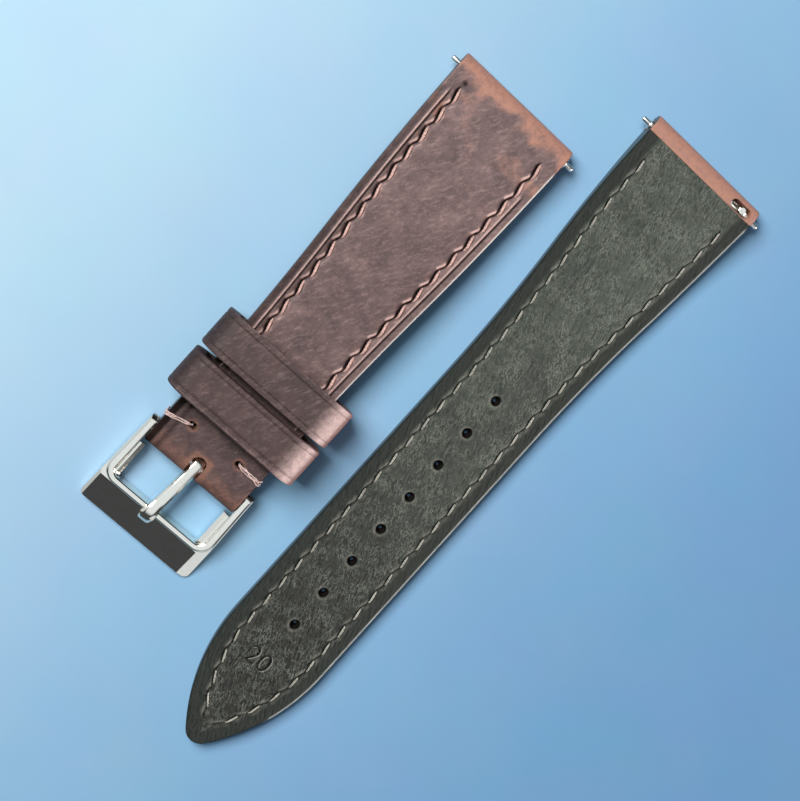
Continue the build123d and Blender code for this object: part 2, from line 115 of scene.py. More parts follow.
def onShort(x, s, h):
    turn, reach = (s - bendS) / strap["bend"], strap["bend"] + h
    return Vector((x - strap["halfX"], bendY - reach * math.sin(turn), bendZ + reach * math.cos(turn)))


def onLong(x, s, h):
    return Vector((x + strap["halfX"], strap["longLugY"] - s, h))


def fromShort(co):
    y, z = bendY - co.y, co.z - bendZ
    return co.x + strap["halfX"], bendS + strap["bend"] * math.atan2(y, z), math.hypot(y, z) - strap["bend"]


def fromLong(co):
    return co.x - strap["halfX"], strap["longLugY"] - co.y, co.z


def padding(s):
    return max(0.0, (strap["padRun"] - s) / (strap["padRun"] - loopR)) ** 2


def shortTop(s):
    return strap["body"] + (loopT - strap["body"]) * padding(s)


def longTop(s):
    return strap["upper"] + strap["lining"] + (loopT - strap["upper"] - strap["lining"]) * padding(s)


def halfWidth(s, taper):
    share = clamp(s / taper)
    drop = 2 * share ** 2 if share < 0.5 else 1 - 2 * (1 - share) ** 2
    return (strap["lugWidth"] - (strap["lugWidth"] - strap["endWidth"]) * drop) / 2


sideR, noseR, bodyHalf = strap["tipSideR"], strap["tipNoseR"], strap["endWidth"] / 2
noseRun = math.sqrt((sideR - noseR) ** 2 - (sideR - bodyHalf) ** 2)
tipS = strap["longLength"] - noseRun - noseR
noseS = strap["longLength"] - noseR


def shortEdge(s):
    return halfWidth(s, strap["shortTaper"])


def shortInset(x, s):
    return shortEdge(s) - abs(x)


def longInset(x, s):
    if s < tipS:
        return halfWidth(s, strap["longTaper"]) - abs(x)
    reach = Vector((abs(x) + sideR - bodyHalf, s - tipS))
    if reach.x * noseRun < reach.y * (sideR - bodyHalf):
        return noseR - math.hypot(x, s - noseS)
    return sideR - reach.length


def longEdge(s):
    if s < tipS:
        return halfWidth(s, strap["longTaper"])
    meet = noseS + noseR * noseRun / (sideR - noseR)
    if s > meet:
        return math.sqrt(max(noseR ** 2 - (s - noseS) ** 2, 1e-6))
    return math.sqrt(sideR ** 2 - (s - tipS) ** 2) - (sideR - bodyHalf)


# The height of the underside
def flat(s):
    return 0.0


# What each half is drawn from: its place on the table, its outline and its upper face
shortHalf = {"at": onShort, "edge": shortEdge, "inset": shortInset, "top": shortTop}
longHalf = {"at": onLong, "edge": longEdge, "inset": longInset, "top": longTop}


# Mesh helpers

# A grid rolled into a skin: rows run along the piece and columns close round its section
def skin(rows, columns, place, ring=False):
    bm = bmesh.new()
    bmesh.ops.create_grid(bm, x_segments=columns, y_segments=rows, size=1)
    spots = {}
    for vert in bm.verts:
        i, j = round((vert.co.y + 1) / 2 * rows), round((vert.co.x + 1) / 2 * columns)
        spots[i, j] = vert
    for (i, j), vert in spots.items():
        vert.co = place(i % rows if ring else i, j % columns)
    welds = {}
    for (i, j), vert in spots.items():
        home = spots[i % rows if ring else i, j % columns]
        if home is not vert:
            welds[vert] = home
    bmesh.ops.weld_verts(bm, targetmap=welds)
    if not ring:
        bmesh.ops.holes_fill(bm, edges=[e for e in bm.edges if e.is_boundary], sides=0)
    return bm


def toMesh(name, bm, sharp=38):
    bmesh.ops.recalc_face_normals(bm, faces=bm.faces)
    mesh = bpy.data.meshes.new(name)
    bm.to_mesh(mesh)
    bm.free()
    for face in mesh.polygons:
        face.use_smooth = True
    mesh.set_sharp_from_angle(angle=math.radians(sharp))
    return mesh


# Puts several drawn parts into one bmesh
def gather(parts):
    whole = bmesh.new()
    for part in parts:
        mesh = bpy.data.meshes.new("part")
        part.to_mesh(mesh)
        part.free()
        whole.from_mesh(mesh)
        bpy.data.meshes.remove(mesh)
    return whole


def finishPiece(name, bm, material, body, nodes, sharp=38):
    bmesh.ops.scale(bm, vec=(milli, milli, milli), verts=bm.verts)
    piece = bpy.data.objects.new(name, toMesh(name, bm, sharp))
    bpy.context.scene.collection.objects.link(piece)
    piece.data.materials.append(material)
    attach(piece, body)
    if nodes:
        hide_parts(*nodes)
    return piece


# Cuts or joins drawn parts with an exact boolean
def carve(bm, cutters, operation="DIFFERENCE"):
    tool = gather(cutters)
    objects = []
    for name, drawn in (("blank", bm), ("cutter", tool)):
        item = bpy.data.objects.new(name, toMesh(name, drawn))
        bpy.context.scene.collection.objects.link(item)
        objects.append(item)
    blank, cutter = objects
    cut = blank.modifiers.new("cut", "BOOLEAN")
    cut.operation, cut.object, cut.solver = operation, cutter, "EXACT"
    bpy.context.view_layer.update()
    done = bpy.data.meshes.new_from_object(blank.evaluated_get(bpy.context.evaluated_depsgraph_get()))
    result = bmesh.new()
    result.from_mesh(done)
    for item in objects:
        mesh = item.data
        bpy.data.objects.remove(item)
        bpy.data.meshes.remove(mesh)
    bpy.data.meshes.remove(done)
    return result


# A punch for a round or slotted hole, flared at its mouths: levels are (height, how much wider)
def punch(at, x, s, radius, straight, levels, turn=0.0):
    sides = 40

    def place(i, j):
        h, grow = levels[i]
        angle = 2 * math.pi * j / sides
        across = (radius + grow) * math.cos(angle) + math.copysign(straight / 2, math.cos(angle))
        along = (radius + grow) * math.sin(angle)
        across, along = (across * math.cos(turn) - along * math.sin(turn),
                         across * math.sin(turn) + along * math.cos(turn))
        return at(x + across, s + along, h)
    return skin(len(levels) - 1, sides, place)


# Writes numbers between 0 and 1 on a piece's points, for its material to read
def paintPoints(piece, locate, rules):
    places = [locate(vert.co / milli) for vert in piece.data.vertices]
    for name, rule in rules.items():
        layer = piece.data.attributes.new(name, "FLOAT", "POINT")
        layer.data.foreach_set("value", [clamp(rule(*place)) for place in places])


# Stations of a leather's outer face along the strap: s, h, the way out of it, its zone and its thickness
def turnStations(centreS, centreH, radius, start, end, zone):
    step = 0.2
    count = max(2, math.ceil(radius * abs(end - start) / step))
    angles = [lerp(start, end, k / count) for k in range(count)]
    return [(centreS + radius * math.cos(a), centreH + radius * math.sin(a), math.cos(a), math.sin(a), zone,
             strap["upper"]) for a in angles]


def runStations(places, height, sign, zone, thickness):
    stations, nudge = [], 0.01
    for s in places:
        slope = (height(s + nudge) - height(s - nudge)) / (2 * nudge)
        size = math.hypot(slope, 1)
        stations.append((s, height(s), -slope / size * sign, sign / size, zone, thickness(s)))
    return stations


def evenly(start, end, step):
    count = max(1, math.ceil(abs(end - start) / step))
    return [lerp(start, end, k / count) for k in range(count)]


# Along the long half, with steps that shorten where the tip's edge turns across
def tipPlaces(start, step):
    s, last, nudge = tipS + 8, strap["longLength"] - 0.003, 0.002
    places = evenly(start, s, step)
    while s < last - 0.001:
        places.append(s)
        slope = (longEdge(s) - longEdge(s + nudge)) / nudge
        s += step / math.hypot(1, slope)
    return places + [last]


# Distances from a leather's edge at which its outer face has columns: close at corner, crease and row
nearInsets = [0.0, 0.03, 0.08, 0.15, 0.23, 0.36, 0.55, 0.8, 1.0, 1.1, 1.2, 1.3, 1.4, 1.5, 1.62, 1.76]
nearInsets += [1.88 + 0.1 * k for k in range(12)] + [3.15, 3.35, 3.6]


def faceColumns(middle):
    left = [(-1, inset) for inset in nearInsets]
    right = [(1, inset) for inset in reversed(nearInsets)]
    return left + [(2 * (k + 1) / (middle + 1) - 1, nearInsets[-1]) for k in range(middle)] + right


# How far a rounded corner falls away at a distance in from its edge
def cornerDrop(inset, radius):
    return radius - math.sqrt(radius ** 2 - (radius - inset) ** 2) if inset < radius else 0.0


# A leather laid along its stations: a detailed outer face, side walls and a plain inner face
def leather(half, stations, relief, middle=26):
    columns = faceColumns(middle)
    inner = [1 - k / 5 for k in range(11)]

    def place(i, j):
        s, h, outS, outH, zone, thick = stations[i]
        edge = half["edge"](s)
        if j < len(columns):
            side, inset = columns[j]
            x = side * (edge - inset * min(1.0, edge / bodyHalf))
            lift = relief(x, s, zone) - cornerDrop(max(half["inset"](x, s), 0.0), strap["corner"])
        else:
            x = inner[j - len(columns)] * edge
            lift = -thick
        return half["at"](x, s + outS * lift, h + outH * lift)
    return skin(len(stations) - 1, len(columns) + len(inner), place)


# Stitch rows: how they run, and what thread and slit look like in brown leather, in lining and below
stitching = {"inset": 2.4, "pitch": 3.35, "shown": 0.62, "reach": 1.6, "firstHole": 3.8,
             "shortStart": 4.8, "shortEnd": 53.4, "longStart": 6.2}
hideRow = {"swing": 0.2, "slit": 0.36, "width": 0.2, "bed": 0.2, "lump": 0.26, "offset": 0.27,
           "thread": 0.19, "rise": 0.07, "plies": [0.0]}
liningRow = {"swing": 0.13, "slit": 0.18, "width": 0.11, "bed": 0.14, "lump": 0.1, "offset": 0.16,
             "thread": 0.048, "rise": 0.04, "plies": [-0.09, 0.08]}
underRow = {"swing": 0.18, "slit": 0.16, "width": 0.12, "bed": 0.36, "lump": 0.0, "offset": 0.18,
            "thread": 0.13, "rise": -0.18, "plies": [0.0]}  # faces that lie on the table keep it sunk


# Moves x across until it lies on the row's line
def ontoRow(half, x, s):
    for _ in range(12):
        x += half["inset"](x, s) - stitching["inset"]
    return x


# The ends of the stitches along one side of a half, a pitch apart
def setOutRow(half, start, end):
    points, s, nudge = [], start, 0.2
    while s < end:
        x = ontoRow(half, half["edge"](s), s)
        if x < 0:
            break
        points.append((s, x))
        s += stitching["pitch"] / math.hypot(1, (ontoRow(half, x, s + nudge) - x) / nudge)
    half["row"], half["starts"] = points, [spot[0] for spot in points]


setOutRow(shortHalf, stitching["shortStart"], stitching["shortEnd"])
setOutRow(longHalf, stitching["longStart"], strap["longLength"])


# Where a point lies in its half's row: the share along the stitch there and how far across
def inRow(half, x, s):
    starts = half["starts"]
    if not starts[0] - 1 < s < starts[-1] + 1:
        return None
    off = half["inset"](x, s) - stitching["inset"]
    if abs(off) > stitching["reach"]:
        return None
    k = min(max(bisect.bisect_right(starts, s) - 1, 0), len(starts) - 2)
    return (s - starts[k]) / (starts[k + 1] - starts[k]), math.copysign(off, -x * off) if x else off


# The slit that a saddle stitch opens runs to and fro across its row
def zigzag(share, swing):
    turn = stitching["shown"]
    return lerp(-swing, swing, ease(0, turn, share) if share < turn else 1 - ease(turn, 1, share))


def window(share, low, high):
    return math.sin(math.pi * clamp((share - low) / (high - low)))


# How thread pulls leather in: a valley, a slit, a bed under the thread and a lump beside it
def pucker(half, x, s, style):
    spot = inRow(half, x, s)
    if not spot:
        return 0.0
    share, across = spot
    first, last = half["starts"][0], half["starts"][-1]
    fade = clamp((s - first + 0.5) / 0.5) * clamp((last + 0.5 - s) / 0.5)
    off = across - zigzag(clamp(share), style["swing"])
    lift = -0.3 * style["slit"] * hump(across, 0.7) - style["slit"] * hump(off, style["width"])
    lift -= style["bed"] * hump(off - style["offset"], 0.22) * window(share, -0.05, 0.72)
    lift += style["lump"] * hump(off + style["offset"] + 0.06, 0.22) * window(share, 0.52, 1.06)
    lift += 0.3 * style["lump"] * hump(off - style["offset"] - 0.45, 0.24) * window(share, 0.0, 0.7)
    return lift * fade


# The share along a stitch and how far a point lies off its slit, or None away from the row
def nearSlit(half, x, s, style):
    spot = inRow(half, x, s)
    if not spot or not -0.1 < spot[0] < 1.1:
        return None
    return spot[0], spot[1] - zigzag(clamp(spot[0]), style["swing"])


# Painted shade in the slit, which is widest beside the thread and all but shut between two stitches
def slitShade(half, x, s, style):
    spot = nearSlit(half, x, s, style)
    if not spot:
        return 0.0
    share, off = spot
    thin = 0.55 + 0.8 * wander(x, s, 0.9, 9.0) + 1.1 * window(share, 0.0, 0.64)
    return hump(off, style["width"] * max(thin + 0.2 * window(share, 0.64, 1.0), 0.3))


# Pale on the lump between two stitches and on the far bank of the thread's bed: pulled-pale leather with a
# painted highlight over it
def lumpShine(half, x, s, style):
    spot = nearSlit(half, x, s, style)
    if not spot:
        return 0.0
    share, off = spot
    lump = 1.35 * hump(off + style["offset"] + 0.04, 0.25) * window(share, 0.44, 1.12)
    bank = 0.45 * hump(off - style["offset"] - 0.36, 0.22) * (0.6 + 1.6 * wander(x, s, 0.8, 2.0))
    return max(lump, bank)


# Camera, floor and lamps

view = {
    "at": (-30.6, 4.6, 195.8), "lens": 62.92, "sensor": 36,
    "right": (0.735123, 0.668468, 0.112891), "down": (0.656807, -0.743518, 0.125643),
    "ahead": (0.167925, -0.018215, -0.985632),
}
lamps = {  # place in mm, size in mm, power in watts and colour
    "keyLamp": ((-330, 70, 430), 320, 4.0, "fffaf4"),
    "sideLamp": ((420, 60, 130), 200, 1.8, "ffeee6"),
}


def linear(code):
    parts = [int(code[k:k + 2], 16) / 255 for k in (0, 2, 4)]
    return [p / 12.92 if p <= 0.04045 else ((p + 0.055) / 1.055) ** 2.4 for p in parts] + [1.0]


# Gives a node's sockets their links or values; a node by itself stands for its first output
def plug(tree, node, inputs):
    for key, value in inputs.items():
        if isinstance(value, bpy.types.Node):
            value = value.outputs[0]
        if isinstance(value, bpy.types.NodeSocket):
            tree.links.new(value, node.inputs[key])
        else:
            node.inputs[key].default_value = value


def addNode(tree, kind, inputs=None, stops=None, **settings):
    node = tree.nodes.new("ShaderNode" + kind)
    for name, value in settings.items():
        setattr(node, name, value)
    plug(tree, node, inputs or {})
    for k, (spot, code) in enumerate(stops or []):
        stop = node.color_ramp.elements[k] if k < 2 else node.color_ramp.elements.new(spot)
        stop.position, stop.color = spot, linear(code)
    return node


camera = bpy.data.objects.new("camera", bpy.data.cameras.new("camera"))
bpy.context.scene.collection.objects.link(camera)
bpy.context.scene.camera = camera
camera.data.lens, camera.data.sensor_width = view["lens"], view["sensor"]
camera.data.clip_start = 0.005
axes = Matrix((view["right"], [-v for v in view["down"]], [-v for v in view["ahead"]])).transposed()
camera.matrix_world = Matrix.Translation(Vector(view["at"]) * milli) @ axes.to_4x4()

for name, (place, size, power, tint) in lamps.items():
    lamp = bpy.data.objects.new(name, bpy.data.lights.new(name, "AREA"))
    lamp.data.size, lamp.data.energy, lamp.data.color = size * milli, power, linear(tint)[:3]
    lamp.location = Vector(place) * milli
    lamp.rotation_euler = (-Vector(place)).to_track_quat("-Z", "Y").to_euler()
    bpy.context.scene.collection.objects.link(lamp)

# A soft box overhead in a dim room; what the camera sees past the floor is plain and pale
studio = {
    "tint": "e2ecf6", "box": 1.15, "room": 0.08, "fill": 0.33, "pastFloor": 0.85,
    "sideBoxes": (((0.70, -0.64, 0.31), 0.88), ((-0.86, -0.30, 0.41), 0.84)),  # the way there and how wide
}
world = bpy.data.worlds.new("studio")
bpy.context.scene.world = world
world.use_nodes = True
sky = world.node_tree
skyWay = addNode(sky, "TexCoord").outputs["Generated"]
upward = addNode(sky, "SeparateXYZ", {0: skyWay})
box = addNode(sky, "MapRange", {"Value": upward.outputs["Z"], "From Min": 0.74, "From Max": 0.93,
                                "To Min": studio["room"], "To Max": studio["box"]},
              interpolation_type="SMOOTHSTEP")
# Polished faces also find two soft boxes low at the sides: one right of the buckle, one left of it
rays = addNode(sky, "LightPath")
direct = addNode(sky, "Math", {0: rays.outputs["Diffuse Depth"], 1: 0.5}, operation="LESS_THAN")
seen = addNode(sky, "Math", {0: direct, 1: rays.outputs["Is Glossy Ray"]}, operation="MULTIPLY")
boxes = box
for way, low in studio["sideBoxes"]:
    near = addNode(sky, "VectorMath", {0: skyWay, 1: way}, operation="DOT_PRODUCT")
    lit = addNode(sky, "MapRange", {"Value": near.outputs["Value"], "From Min": low, "From Max": 0.94},
                  interpolation_type="SMOOTHSTEP")
    reflected = addNode(sky, "Math", {0: lit, 1: seen}, operation="MULTIPLY")
    boxes = addNode(sky, "Math", {0: boxes, 1: reflected}, operation="MAXIMUM")
fill = addNode(sky, "MapRange", {"Value": seen, "To Min": studio["fill"]})
dimmed = addNode(sky, "Math", {0: boxes, 1: fill}, operation="MULTIPLY")
strength = addNode(sky, "Mix", {0: rays.outputs["Is Camera Ray"], 2: dimmed, 3: studio["pastFloor"]})
plug(sky, sky.nodes["Background"], {"Strength": strength, "Color": linear(studio["tint"])})
bpy.context.scene.view_settings.view_transform = "Standard"


# A new material, with the place on the object in millimetres for its patterns
def startMaterial(name):
    material = bpy.data.materials.new(name)
    material.use_nodes = True
    tree = material.node_tree
    coords = addNode(tree, "TexCoord")
    place = addNode(tree, "Mapping", {"Vector": coords.outputs["Object"], "Scale": (1 / milli,) * 3})
    return material, tree, tree.nodes["Principled BSDF"], place


# Pale blue table board, painted matt; its colour deepens towards one side, a painted falloff of the light
# across the table
def paintedBoard():
    material, tree, shader, place = startMaterial("paintedBoard")
    parts = addNode(tree, "SeparateXYZ", {0: place})
    across = addNode(tree, "MapRange", {"Value": parts.outputs["X"], "From Min": -90, "From Max": 90})
    tint = addNode(tree, "ValToRGB", {0: across},
                   stops=[(0.2, "add3ec"), (0.8, "71a9db"), (0.48, "8bbce3")])
    mottle = addNode(tree, "TexNoise", {"Vector": place, "Scale": 0.06, "Detail": 3})
    mixed = addNode(tree, "Mix", {0: 0.06, 6: tint, 7: mottle.outputs[1]}, data_type="RGBA")
    plug(tree, shader, {"Base Color": mixed.outputs[2], "Roughness": 0.85})
    return material


floorMesh = bmesh.new()
bmesh.ops.create_grid(floorMesh, x_segments=1, y_segments=1, size=2)
floor = bpy.data.objects.new("floor", toMesh("floor", floorMesh))
floor.data.materials.append(paintedBoard())
bpy.context.scene.collection.objects.link(floor)

# The side lamp rakes over the strap alone, so that the table keeps its shadow
tableOut = bpy.data.collections.new("tableOut")
tableOut.objects.link(floor)
tableOut.collection_objects[0].light_linking.link_state = "EXCLUDE"
bpy.data.objects["sideLamp"].light_linking.receiver_collection = tableOut
print("camera, floor and lamps placed")


# Finishes

# Oiled pull-up leather: waxy, cloudy brown that turns pale where it is bent and tan where it is rubbed;
# painted highlights and painted shade from its points are mixed in as well
def oiledLeather(name, look):
    material, tree, shader, place = startMaterial(name)
    paint = {layer: addNode(tree, "Attribute", attribute_name=layer).outputs["Fac"]
             for layer in ("bright", "wearAndLight", "edge", "shade")}
    clouds = addNode(tree, "TexNoise", {"Vector": place, "Scale": 0.3, "Detail": 10, "Roughness": 0.8})
    cloudy = addNode(tree, "ValToRGB", {0: clouds},
                     stops=[(0.3, look["dark"]), (0.72, look["rubbed"]), (0.5, look["main"])])
    streaks = addNode(tree, "Mapping", {"Vector": place, "Rotation": (0, 0, -0.5), "Scale": (0.32, 1, 1)},
                      vector_type="TEXTURE")
    scuffs = addNode(tree, "TexNoise", {"Vector": streaks, "Scale": 0.75, "Detail": 9,
                                        "Roughness": 0.74})
    scuffed = addNode(tree, "MapRange", {"Value": scuffs, "From Min": 0.5, "From Max": 0.74,
                                         "To Max": look["scuff"]})
    grain = addNode(tree, "TexVoronoi", {"Vector": place, "Scale": 3.2})
    pores = addNode(tree, "MapRange", {"Value": grain, "From Max": 0.24, "To Min": 0.42, "To Max": 0.0})
    patchy = addNode(tree, "TexNoise", {"Vector": place, "Scale": 1.1, "Detail": 8, "Roughness": 0.85})
    broken = {}
    for layer, low, high in (("bright", -0.4, 0.4), ("wearAndLight", -0.8, 0.6)):
        shifted = addNode(tree, "MapRange", {"Value": patchy, "From Min": 0.3, "From Max": 0.7,
                                             "To Min": low, "To Max": high})
        amount = addNode(tree, "Math", {0: paint[layer], 1: shifted}, operation="ADD")
        broken[layer] = addNode(tree, "Math", {0: amount, 1: paint[layer]}, operation="MULTIPLY",
                                use_clamp=True)
    colour = cloudy
    # Pale mixes pulled-pale leather with painted highlights; edge is a painted highlight on the rim and shade
    # is painted shade
    for amount, code in ((scuffed, look["pale"]), (pores, look["pore"]),
                         (broken["bright"], look["pale"]), (broken["wearAndLight"], look["tan"]),
                         (paint["edge"], look["edge"]), (paint["shade"], look["shade"])):
        colour = addNode(tree, "Mix", {0: amount, 6: colour, 7: linear(code)}, data_type="RGBA").outputs[2]
    fine = addNode(tree, "TexNoise", {"Vector": place, "Scale": 7, "Detail": 4, "Roughness": 0.65})
    grainBump = addNode(tree, "Bump", {"Strength": look["grain"], "Distance": 0.00008, "Height": grain})
    bump = addNode(tree, "Bump", {"Strength": 0.5, "Distance": 0.00005, "Height": fine,
                                  "Normal": grainBump})
    gloss = addNode(tree, "MapRange", {"Value": clouds, "To Min": look["gloss"], "To Max": 0.75})
    dull = addNode(tree, "MapRange", {"Value": paint["shade"], "To Min": 0.5, "To Max": 0.05})
    plug(tree, shader, {"Base Color": colour, "Normal": bump, "Roughness": gloss,
                        "Specular IOR Level": dull, "IOR": 1.48})
    return material


# Drum-grained lining leather: dull grey-green, soft pebbles and slanting wrinkles; its points add painted
# highlights, a painted highlight on the right rim and painted shade
def liningLeather(look):
    material, tree, shader, place = startMaterial("grainedLining")
    paint = {layer: addNode(tree, "Attribute", attribute_name=layer).outputs["Fac"]
             for layer in ("along", "band", "pale", "edge", "shade")}
    slanted = addNode(tree, "Mapping", {"Vector": place, "Rotation": (0, 0, 0.34), "Scale": (0.5, 1.7, 1.0)},
                      vector_type="TEXTURE")
    warp = addNode(tree, "TexNoise", {"Vector": place, "Scale": 0.45, "Detail": 3})
    bent = addNode(tree, "Mix", {0: 0.25, 4: slanted, 5: warp.outputs[1]}, data_type="VECTOR")
    wrinkles = addNode(tree, "TexNoise", {"Vector": bent.outputs[1], "Scale": 2.1, "Detail": 7,
                                          "Roughness": 0.66})
    pebbles = addNode(tree, "TexVoronoi", {"Vector": bent.outputs[1], "Scale": 2.0}, feature="SMOOTH_F1")
    clouds = addNode(tree, "TexNoise", {"Vector": place, "Scale": 0.09, "Detail": 4})
    tone = addNode(tree, "ValToRGB", {0: clouds}, stops=[(0.3, look["dark"]), (0.7, look["main"])])
    # Fine crests run where the wrinkling passes its middle height, stronger in some patches than in others
    middle = addNode(tree, "Math", {0: wrinkles, 1: 0.5}, operation="SUBTRACT")
    fold = addNode(tree, "Math", {0: middle}, operation="ABSOLUTE")
    patches = addNode(tree, "TexNoise", {"Vector": place, "Scale": 0.35, "Detail": 5, "Roughness": 0.7})
    strong = addNode(tree, "MapRange", {"Value": patches, "From Min": 0.38, "From Max": 0.62,
                                        "To Min": 0.12, "To Max": 0.9})
    crest = addNode(tree, "MapRange", {"Value": fold, "From Min": 0.03, "From Max": 0.004,
                                       "To Max": strong})
    furrow = addNode(tree, "MapRange", {"Value": wrinkles, "From Min": 0.5, "From Max": 0.3,
                                        "To Max": 0.6})
    colour = tone
    for amount, code in ((paint["along"], look["tipEnd"]), (crest, look["crest"]),
                         (furrow, look["furrow"]), (paint["band"], look["border"]),
                         (paint["pale"], look["pale"]), (paint["edge"], look["edge"]),
                         (paint["shade"], look["shade"])):
        colour = addNode(tree, "Mix", {0: amount, 6: colour, 7: linear(code)}, data_type="RGBA").outputs[2]
    pebbleBump = addNode(tree, "Bump", {"Strength": 0.9, "Distance": 0.0005, "Height": pebbles})
    bump = addNode(tree, "Bump", {"Strength": 1.0, "Distance": 0.0007, "Height": wrinkles,
                                  "Normal": pebbleBump})
    dull = addNode(tree, "MapRange", {"Value": paint["shade"], "To Min": 0.36, "To Max": 0.05})
    plug(tree, shader, {"Base Color": colour, "Normal": bump, "Roughness": 0.55,
                        "Specular IOR Level": dull})
    return material


# Waxed sewing thread: fibres show as fine pale and dark, with a little sheen
def waxedThread(name, code, dark):
    material, tree, shader, place = startMaterial(name)
    fibres = addNode(tree, "TexNoise", {"Vector": place, "Scale": 5, "Detail": 5, "Roughness": 0.7})
    tint = addNode(tree, "ValToRGB", {0: fibres}, stops=[(0.32, dark), (0.6, code)])
    bump = addNode(tree, "Bump", {"Strength": 0.5, "Distance": 0.00006, "Height": fibres})
    plug(tree, shader, {"Base Color": tint, "Normal": bump, "Roughness": 0.5,
                        "Sheen Weight": 0.25})
    return material


# Edge paint: dark rubbery coat rolled on the cut edges, slightly uneven, half gloss; a painted highlight
# turns its right top rim pale
def edgePaint(name, code, rim):
    material, tree, shader, place = startMaterial(name)
    thin = addNode(tree, "Attribute", attribute_name="edge")
    uneven = addNode(tree, "TexNoise", {"Vector": place, "Scale": 1.2, "Detail": 4})
    tint = addNode(tree, "ValToRGB", {0: uneven}, stops=[(0.3, code), (0.7, rim)])
    edged = addNode(tree, "Mix", {0: thin.outputs["Fac"], 6: tint, 7: linear("dfe8e6")},
                    data_type="RGBA")
    bump = addNode(tree, "Bump", {"Strength": 0.5, "Distance": 0.0001, "Height": uneven})
    plug(tree, shader, {"Base Color": edged.outputs[2], "Normal": bump, "Roughness": 0.32})
    return material


# Stainless steel: polished, turned or drawn, by how rough it is and how its scratches lie
def stainless(name, code, rough, scratch, stretched):
    material, tree, shader, place = startMaterial(name)
    drawn = addNode(tree, "Mapping", {"Vector": place, "Scale": stretched})
    lines = addNode(tree, "TexNoise", {"Vector": drawn, "Scale": 3, "Detail": 4})
    worn = addNode(tree, "TexNoise", {"Vector": place, "Scale": 0.7, "Detail": 5})
    gloss = addNode(tree, "MapRange", {"Value": worn, "From Min": 0.3, "From Max": 0.7,
                                       "To Min": rough, "To Max": rough * 1.7})
    tint = addNode(tree, "Mix", {0: lines, 6: linear(code), 7: linear("f2efe8")}, data_type="RGBA")
    bump = addNode(tree, "Bump", {"Strength": scratch, "Distance": 0.00003, "Height": lines})
    plug(tree, shader, {"Base Color": tint.outputs[2], "Roughness": gloss,
                        "Normal": bump, "Metallic": 1.0})
    return material


# Filler board: pressed leather fibre, brown and matt
def fibreBoard():
    material, tree, shader, place = startMaterial("fibreBoard")
    fibres = addNode(tree, "TexNoise", {"Vector": place, "Scale": 4, "Detail": 6, "Roughness": 0.75})
    tint = addNode(tree, "ValToRGB", {0: fibres}, stops=[(0.3, "4a3428"), (0.7, "8a6a52")])
    plug(tree, shader, {"Base Color": tint, "Roughness": 0.9})
    return material


# In both hides pale also colours painted highlights and shade colours painted shade; edge colours a painted
# highlight along the right rim
brownHide = oiledLeather("oiledLeather", {
    "main": "635152", "dark": "3f3233", "rubbed": "806b6b", "pale": "dcbbb6", "tan": "a87b6b",
    "pore": "44302f", "edge": "e4e6e6", "shade": "0c0605", "scuff": 0.3, "grain": 0.46, "gloss": 0.4})
keeperHide = oiledLeather("keeperLeather", {
    "main": "3e2e2e", "dark": "2d2121", "rubbed": "523f3e", "pale": "eed2d0", "tan": "a06e62",
    "pore": "2c2020", "edge": "8a6a64", "shade": "120a09", "scuff": 0.14, "grain": 0.22, "gloss": 0.42})
greyHide = liningLeather({
    "main": "4e5951", "dark": "37413b", "tipEnd": "101713", "crest": "96a097", "furrow": "121a16",
    "border": "1a2520", "pale": "bfc2b8", "edge": "dfe8e6", "shade": "0c0f0a"})
brownThread = waxedThread("brownWaxedThread", "e2bcb4", "7c5850")
greyThread = waxedThread("greyWaxedThread", "dfe0d6", "6c7166")
tackThread = waxedThread("paleWaxedThread", "e6cdca", "6e4e4a")
brownEdge = edgePaint("brownEdgePaint", "2c2321", "3d302d")
greyEdge = edgePaint("greyEdgePaint", "1c211d", "2b322c")
polished = stainless("polishedSteel", "e4d9c4", 0.07, 0.015, (0.25, 2.5, 1.0))
turned = stainless("turnedSteel", "c4c2bc", 0.2, 0.15, (4.0, 0.6, 0.6))
springWire = stainless("springSteel", "8f8e8a", 0.3, 0.2, (1.0, 1.0, 1.0))
board = fibreBoard()
print("finishes mixed")


# Leather pieces of the buckle half

crease = {"inset": 1.3, "ridge": 0.1, "cut": 0.18, "leftStart": 5.0, "rightStart": 9.0, "end": 54.6}
tackHoles = {"x": 4.2, "s": 63.0, "radius": 0.4, "straight": 0.5, "insideRadius": 0.45,
             "levels": [(-2, 0.2), (-1, 0.08), (0.5, 0), (2.1, 0), (2.4, 0.16), (3.2, 0.4)]}
tangSlot = {"s": 69.2, "radius": 1.1, "straight": 5.0, "insideStraight": 6.0, "front": 65.6,
            "levels": [(-2, 0.3), (-1.15, 0.12), (-0.9, 0), (0.6, 0), (0.8, 0), (2.2, 0), (2.45, 0.14),
                       (3.5, 0.35)]}
knobNotch = {"x": 7.25, "radius": 0.75, "straight": 2.0,
             "shortLevels": [(-1, 0.4), (-0.05, 0.14), (0.15, 0), (loopR, 0)],
             "longLevels": [(loopR, 0), (3.5, 0), (3.68, 0.1), (4.6, 0.4)]}


# How far a point lies across the crease, and how much of the crease there is at s
def creaseAt(x, s, inset):
    start = crease["rightStart"] if x > 0 else crease["leftStart"]
    fade = stretch(s, start, start + 1.5, crease["end"] - 0.5, crease["end"])
    return (inset - crease["inset"]) * math.copysign(1, -x), fade


def swell(x, s):
    return 0.03 * wander(x, s, 5.0) + 0.012 * wander(x, s, 1.3, 4.0)


tailS, thickS = fixedKeeperS - strap["tail"], fixedKeeperS + strap["skiveEnd"]


def upperThick(s):
    return strap["upper"]


def tailThick(s):
    return strap["skived"] if s < thickS else strap["upper"]


